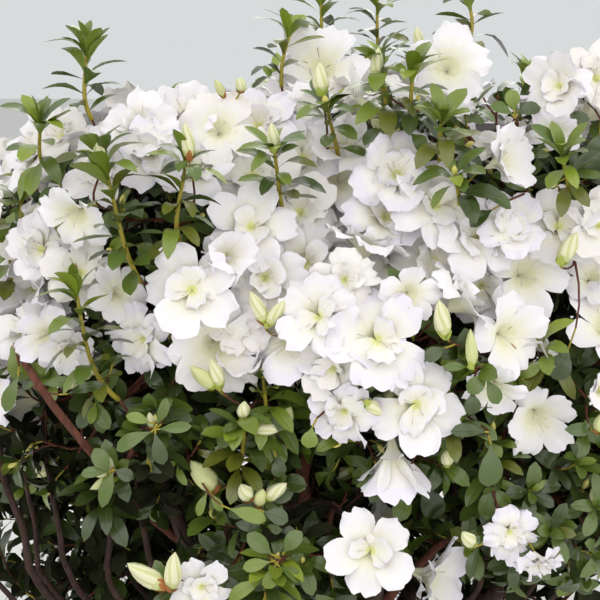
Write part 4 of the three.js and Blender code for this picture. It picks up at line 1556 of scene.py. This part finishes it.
class AZALEA_OT_leaves(bpy.types.Operator):
    """Leaves along the twigs, in whorls at their tips"""

    bl_idname = "azalea.leaves"
    bl_label = "Leaves"

    def execute(self, context):
        size = context.scene.azalea_sizes.leaf_length
        shrub = plan()
        leaves = Leaves(np.random.default_rng(7))
        for numbers, anchor in shrub.twigs:
            if anchor is None:
                continue
            tints = self.tints_of(anchor, leaves.roll)
            twig = twig_along(shrub.growth.at[numbers])
            group = f"leaves_{self.group_of(anchor)}"
            if anchor.kind == "shoot":
                self.dress_shoot(leaves, twig, anchor, size * 1.2)
            elif anchor.kind == "spray":
                self.dress_spray(leaves, group, twig, anchor, size, tints)
            elif anchor.kind != "leaf":
                self.dress(leaves, group, twig, 4, size, tints, 0.016)
        leaves.clear_of([anchor for anchor in shrub.anchors if anchor.kind in KINDS],
                        [anchor for anchor in shrub.anchors if anchor.kind == "bud"])
        leaves.clear_through(self.petals())
        for anchor in shrub.anchors:
            if anchor.kind == "leaf":
                top = unit(UP * 0.45 - LOOK + leaves.roll.normal(0, 0.2, 3))
                top = unit(top - anchor.out * (top @ anchor.out))
                leaves.add(f"leaves_{self.group_of(anchor)}", anchor.at, anchor.out, top,
                           *anchor.size, int(leaves.roll.choice((0, 1, 4))), anchor.detail)
        for name, group, heap in leaves.heaps():
            piece = heap.build(name, leaf_slots())
            if group == "shoot_leaves":
                nodes = [n for n in frame["nodes"] if n.startswith("shoot_")]
                finish_piece(piece, nodes)
            else:
                rings = ("top", "upper") if group == "leaves_top" else (group.split("_")[1],)
                finish_piece(piece, nodes_of(*rings))
        return {"FINISHED"}

    def tints_of(self, anchor, roll):
        """The tints of a twig's leaves: by chance, with painted shade that grows darker the deeper
        a spray lies and where few leaves catch the light.
        """
        high = self.group_of(anchor) == "top"
        tints = TINT_SETS[roll.choice(len(TINT_SETS), p=HIGH_SHARES if high else TINT_SHARES)]
        if anchor.kind != "spray":
            return tints
        # Painted shade: the dark tints go to sprays where few leaves catch the light, and to the
        # deeper ones.
        if anchor.at[1] < 0 and in_window(*pixels_of(anchor.at), DIM_WINDOW):
            return PAINTED_SHADE, DARK, PAINTED_SHADE
        if anchor.detail > DEEP:
            return (PAINTED_SHADE,) if anchor.detail > DEEPEST else (PAINTED_SHADE, DARK)
        return (DARK, DARK, MID) if anchor.detail > SHALLOW else tints

    def petals(self):
        """The surface of each blossom piece. They are made before the leaves."""
        trees = []
        for piece in bpy.data.objects:
            if piece.name.startswith("blossom_"):
                bm = bmesh.new()
                bm.from_mesh(piece.data)
                trees.append(BVHTree.FromBMesh(bm))
                bm.free()
        return trees

    def group_of(self, anchor):
        """The part of the crown that a leaf is joined with."""
        ring = ring_of(anchor.mass)
        return "top" if ring == "upper" else ring

    def dress(self, leaves, group, twig, count, size, tints, start):
        """Leaves set spirally down a twig from near its tip."""
        turn = leaves.roll.uniform(0, math.tau)
        for number in range(count):
            back = start + number * 0.0085
            if back > twig.length * 0.85:
                break
            root, axes = back_from_tip(twig, back)
            turn += GOLDEN_ANGLE
            steep = 58 + 5 * number + leaves.roll.normal(0, 8)
            leaves.leaf(group, root, axes, turn, min(steep, 92),
                        size * leaves.roll.uniform(0.75, 1.1), tints)

    def dress_spray(self, leaves, group, twig, anchor, size, tints):
        """A spray: a whorl at the tip, leaves below it, and young ones on top near the surface."""
        tip, lead = twig.path[-1], twig.lead[-1]
        whorl = anchor.size // 2 + 1
        large = size * (1.25 if anchor.detail > DEEP else 1.0)
        leaves.whorl(group, tip, lead, whorl, large, 62, tints)
        self.dress(leaves, group, twig, anchor.size - whorl, large, tints, 0.012)
        if anchor.detail < SHALLOW:
            leaves.whorl(group, tip, lead, 2, size * 0.7, 30, (FRESH, MID))

    def dress_shoot(self, leaves, twig, anchor, size):
        """A tall shoot: old leaves stand out below, young ones stand up round its tip."""
        photographed = anchor.detail == 1
        count = int(twig.length / (0.0052 if photographed else 0.0042))
        turn = leaves.roll.uniform(0, math.tau)
        dim = photographed and in_window(*pixels_of(anchor.at), DIM_WINDOW)
        for number in range(count):
            share = number / max(count - 1, 1)
            root, axes = back_from_tip(twig, 0.006 + twig.length * 0.82 * share)
            turn += GOLDEN_ANGLE
            away = axes[1] * math.cos(turn) + axes[2] * math.sin(turn)
            if photographed and away @ LOOK > 0.1:
                turn += math.pi
            steep = np.interp(share, (0, 0.15, 0.4, 1), (46, 64, 76, 84)) + leaves.roll.normal(0, 6)
            tints = (FRESH, YOUNG, FRESH) if share < 0.25 else (MID, FRESH, OLIVE, DARK)
            # Painted shade: darker tints for the listed shoots where few leaves catch the light.
            if dim:
                tints = (DARK, PAINTED_SHADE)
            leaves.leaf("shoot_leaves", root, axes, turn, steep,
                        size * leaves.roll.uniform(0.85, 1.15), tints)
        tip, lead = twig.path[-1], twig.lead[-1]
        if anchor.size == "leafy":
            young = (FRESH, YOUNG, FRESH, MID) if photographed else (YOUNG, FRESH)
            leaves.whorl("shoot_leaves", tip, lead, 6, size, 40, young)
            leaves.whorl("shoot_leaves", tip, lead, 2, size * 0.8, 16, young)
        else:
            # Painted shade again for the tip whorl where few leaves catch the light.
            tints = (DARK, MID) if dim else (MID, FRESH, MID)
            leaves.whorl("shoot_leaves", tip, lead, 6, size * 0.95, 60, tints)


class AZALEA_OT_blossom(bpy.types.Operator):
    """White semi-double flowers"""

    bl_idname = "azalea.blossom"
    bl_label = "Blossom"

    def execute(self, context):
        shrub = plan()
        maker = Blossoms()
        roll = np.random.default_rng(11)
        heaps = defaultdict(Heap)
        for anchor in shrub.anchors:
            if anchor.kind not in KINDS:
                continue
            ring = ring_of(anchor.mass)
            side = "front" if anchor.at[1] < 0 else "back"
            turn = "left" if anchor.at[0] < 0 else "right"
            group = f"blossom_{'top' if ring in ('top', 'upper') else 'low'}_{side}_{turn}"
            maker.bloom(heaps[group], anchor, roll)
        for group, heap in sorted(heaps.items()):
            if heap.triangles > MOST_TRIANGLES:
                raise RuntimeError(f"{group} has {heap.triangles} triangles")
            rings = ("top", "upper") if "top" in group else ("middle",)
            piece = heap.build(group, petal_slots())
            finish_piece(piece, nodes_of(*rings))
        return {"FINISHED"}


class AZALEA_OT_buds(bpy.types.Operator):
    """Flower buds and the small buds in the middle of the sprays"""

    bl_idname = "azalea.buds"
    bl_label = "Buds"

    def execute(self, context):
        sizes, colours = context.scene.azalea_sizes, context.scene.azalea_colours
        cream, green = np.array(colours.bud), np.array(colours.bud_green)
        materials = [
            petal_paint("bud_cream", cream, 0.55, specular=0.35),
            petal_paint("bud_green", green, 0.5, specular=0.4),
            petal_paint("bud_lime", cream * 0.5 + green * 0.5, 0.5, specular=0.4),
            petal_paint("bud_scale", np.array(colours.bud_scale), 0.6),
            petal_paint("bud_yellow", cream * 0.3 + green * (1.3, 0.95, 0.6), 0.5, specular=0.4),
        ]
        maker = Blossoms()
        roll = np.random.default_rng(5)
        heap = Heap()
        anchors = plan().anchors
        blooms = np.array([a.at + a.out * 0.3 * a.size for a in anchors if a.kind in KINDS])
        for anchor in anchors:
            if anchor.kind == "bud":
                maker.closed_bud(heap, anchor, roll)
            elif anchor.kind == "spray" and anchor.detail < DEEP:
                chance = roll.random()
                high = anchor.at[2] > 0.36
                if chance < 0.3:
                    maker.tip_bud(heap, anchor.at, anchor.out, roll, 0.012)
                elif chance < 0.46 and high and not crowded(anchor.at, blooms, 0.042):
                    self.bud_group(maker, heap, anchor, roll, sizes.bud_length)
            elif anchor.kind == "shoot" and anchor.size == "small":
                maker.tip_bud(heap, anchor.at, unit(anchor.at - anchor.out), roll, 0.014)
        finish_piece(heap.build("buds", materials))
        return {"FINISHED"}

    def bud_group(self, maker, heap, anchor, roll, length):
        """Two or three flower buds on one tip."""
        for _ in range(int(roll.integers(1, 4))):
            out = unit(anchor.out + roll.normal(0, 0.4, 3))
            long = length * roll.uniform(0.7, 1.1)
            size = (long, long * roll.uniform(0.2, 0.26))
            root = anchor.at + out * 0.004
            maker.closed_bud(heap, Anchor(root, out, anchor.mass, "bud", size, 0), roll)


# The lamps: name, place, size and power.
LAMPS = (
    ("key", (-1.5, -2.3, 2.7), 4.2, 38), ("fill", (2.2, -2.2, 1.5), 4.0, 31),
    ("front", (0.0, -3.2, 1.5), 4.0, 13), ("rim", (0.6, 2.4, 2.4), 2.2, 36),
)


class AZALEA_OT_stage(bpy.types.Operator):
    """Pale floor, soft light and the camera of the photograph"""

    bl_idname = "azalea.stage"
    bl_label = "Stage"

    def execute(self, context):
        colours = context.scene.azalea_colours
        scene = context.scene
        bm = bmesh.new()
        bmesh.ops.create_grid(bm, x_segments=2, y_segments=2, size=60.0)
        mesh = bpy.data.meshes.new("floor")
        bm.to_mesh(mesh)
        bm.free()
        paint = Paint("floor", colours.floor, 0.9, specular=0.1)
        mesh.materials.append(paint.material)
        floor = bpy.data.objects.new("floor", mesh)
        scene.collection.objects.link(floor)
        world = bpy.data.worlds.new("studio")
        world.use_nodes = True
        backdrop = world.node_tree.nodes["Background"]
        backdrop.inputs["Color"].default_value = (*colours.backdrop, 1.0)
        backdrop.inputs["Strength"].default_value = 1.06
        scene.world = world
        for lamp in LAMPS:
            self.lamp(scene, colours.lamp, *lamp)
        camera = bpy.data.cameras.new("camera")
        camera.sensor_width = SENSOR
        camera.lens = SENSOR * CAMERA_DISTANCE / PHOTO_SPAN
        camera.clip_start = 0.05
        view = bpy.data.objects.new("camera", camera)
        view.location = CAMERA_AT
        view.rotation_euler = (math.pi / 2 - CAMERA_TILT, 0, 0)
        scene.collection.objects.link(view)
        scene.camera = view
        scene.view_settings.view_transform = "Standard"
        return {"FINISHED"}

    def lamp(self, scene, tint, name, place, size, power):
        """A large soft lamp that looks at the crown."""
        light = bpy.data.lights.new(name, "AREA")
        light.size = size
        light.energy = power
        light.color = tint
        lamp = bpy.data.objects.new(name, light)
        lamp.location = place
        way = Vector(CROWN_MIDDLE) - Vector(place)
        lamp.rotation_euler = way.to_track_quat("-Z", "Y").to_euler()
        scene.collection.objects.link(lamp)


def colour(name, description, default):
    """A colour that can be changed in the sidebar."""
    return FloatVectorProperty(name=name, description=description, subtype="COLOR", size=3,
                               min=0, max=1, default=default)


def length(name, description, default):
    """A length that can be changed in the sidebar."""
    return FloatProperty(name=name, description=description, subtype="DISTANCE", unit="LENGTH",
                         min=0, default=default)


class AzaleaSizes(bpy.types.PropertyGroup):
    """Sizes of the shrub's leaves, blooms and bark"""

    bloom_width: length("Bloom width", "Across an open flower", BLOOM_WIDTH)
    bloom_spacing: length("Bloom spacing", "Between flowers where they stand densest", 0.052)
    leaf_length: length("Leaf length", "From the stalk to the tip of a leaf", 0.031)
    bud_length: length("Bud length", "Length of a closed flower bud", 0.026)
    twig_radius: length("Twig radius", "Half the thickness of a twig at its tip", 0.0009)
    bark_relief: length("Bark relief", "How far the ridges of the bark stand out", 0.0009)


class AzaleaColours(bpy.types.PropertyGroup):
    """Colours of the shrub and its stage"""

    petal: colour("Petal", "The white of most petals", (0.955, 0.93, 0.955))
    # Painted shade: a lilac-grey white that stands in for the shade on petals.
    petal_cool: colour("Cool petal", "The cooler white of some blooms", (0.925, 0.895, 0.95))
    petal_warm: colour("Warm petal", "The warmer white of some blooms", (0.95, 0.92, 0.89))
    throat: colour("Throat", "Yellow-green of the inner petals' feet", (0.9, 0.91, 0.46))
    tube: colour("Tube", "Cream of the flower's tube", (0.9, 0.89, 0.66))
    anther: colour("Anther", "Tips of the stamens", (0.55, 0.34, 0.16))
    bud: colour("Bud", "Cream of a closed flower bud", (0.86, 0.84, 0.56))
    bud_green: colour("Bud green", "Green at the foot of a bud", (0.5, 0.58, 0.11))
    bud_scale: colour("Bud scale", "Orange-brown of the bud scales", (0.46, 0.17, 0.05))
    leaf: colour("Leaf", "Green of most leaves", (0.1, 0.158, 0.018))
    # Besides the oldest leaves, this green also serves as painted shade for sprays that lie a
    # little deeper.
    leaf_dark: colour("Dark leaf", "Green of the oldest leaves", (0.048, 0.078, 0.012))
    # Painted shade: a near-black green for the leaves deep in the crown and where few leaves catch
    # the light.
    leaf_shaded: colour("Shaded leaf", "Green of the innermost leaves", (0.022, 0.026, 0.009))
    leaf_young: colour("Young leaf", "Yellow-green of young leaves", (0.27, 0.35, 0.03))
    shoot: colour("Shoot", "Ochre of the young stems", (0.42, 0.34, 0.04))
    bark: colour("Bark", "Brown of the old bark", (0.08, 0.041, 0.03))
    bark_dark: colour("Dark bark", "Purple-brown in the bark's cracks", (0.026, 0.015, 0.013))
    bark_grey: colour("Grey bark", "Grey-brown patches on the bark", (0.11, 0.088, 0.07))
    bark_red: colour("Red bark", "Red-brown of the boughs", (0.2, 0.068, 0.042))
    floor: colour("Floor", "The pale floor", (0.76, 0.75, 0.73))
    lamp: colour("Lamps", "The light of the lamps", (1.0, 0.968, 0.955))
    backdrop: colour("Backdrop", "The light that comes from all round", (0.65, 0.67, 0.675))


STEPS = (AZALEA_OT_wood, AZALEA_OT_twigs, AZALEA_OT_blossom, AZALEA_OT_leaves, AZALEA_OT_buds,
         AZALEA_OT_stage)


class AZALEA_PT_panel(bpy.types.Panel):
    """The steps that build the shrub, and its sizes and colours"""

    bl_idname = "AZALEA_PT_panel"
    bl_label = "Azalea Shrub"
    bl_space_type = "VIEW_3D"
    bl_region_type = "UI"
    bl_category = "Azalea"

    def draw(self, context):
        for step in STEPS:
            self.layout.operator(step.bl_idname)
        for group in (context.scene.azalea_sizes, context.scene.azalea_colours):
            box = self.layout.box()
            for name in group.bl_rna.properties.keys():
                if name not in ("rna_type", "name"):
                    box.prop(group, name)


CLASSES = (AzaleaSizes, AzaleaColours, *STEPS, AZALEA_PT_panel)


def register():
    for cls in CLASSES:
        bpy.utils.register_class(cls)
    bpy.types.Scene.azalea_sizes = PointerProperty(type=AzaleaSizes)
    bpy.types.Scene.azalea_colours = PointerProperty(type=AzaleaColours)


def unregister():
    del bpy.types.Scene.azalea_colours
    del bpy.types.Scene.azalea_sizes
    for cls in reversed(CLASSES):
        bpy.utils.unregister_class(cls)


def main():
    register()
    bpy.ops.azalea.wood()
    bpy.ops.azalea.twigs()
    bpy.ops.azalea.blossom()
    bpy.ops.azalea.leaves()
    bpy.ops.azalea.buds()
    bpy.ops.azalea.stage()


if __name__ == "__main__":
    main()
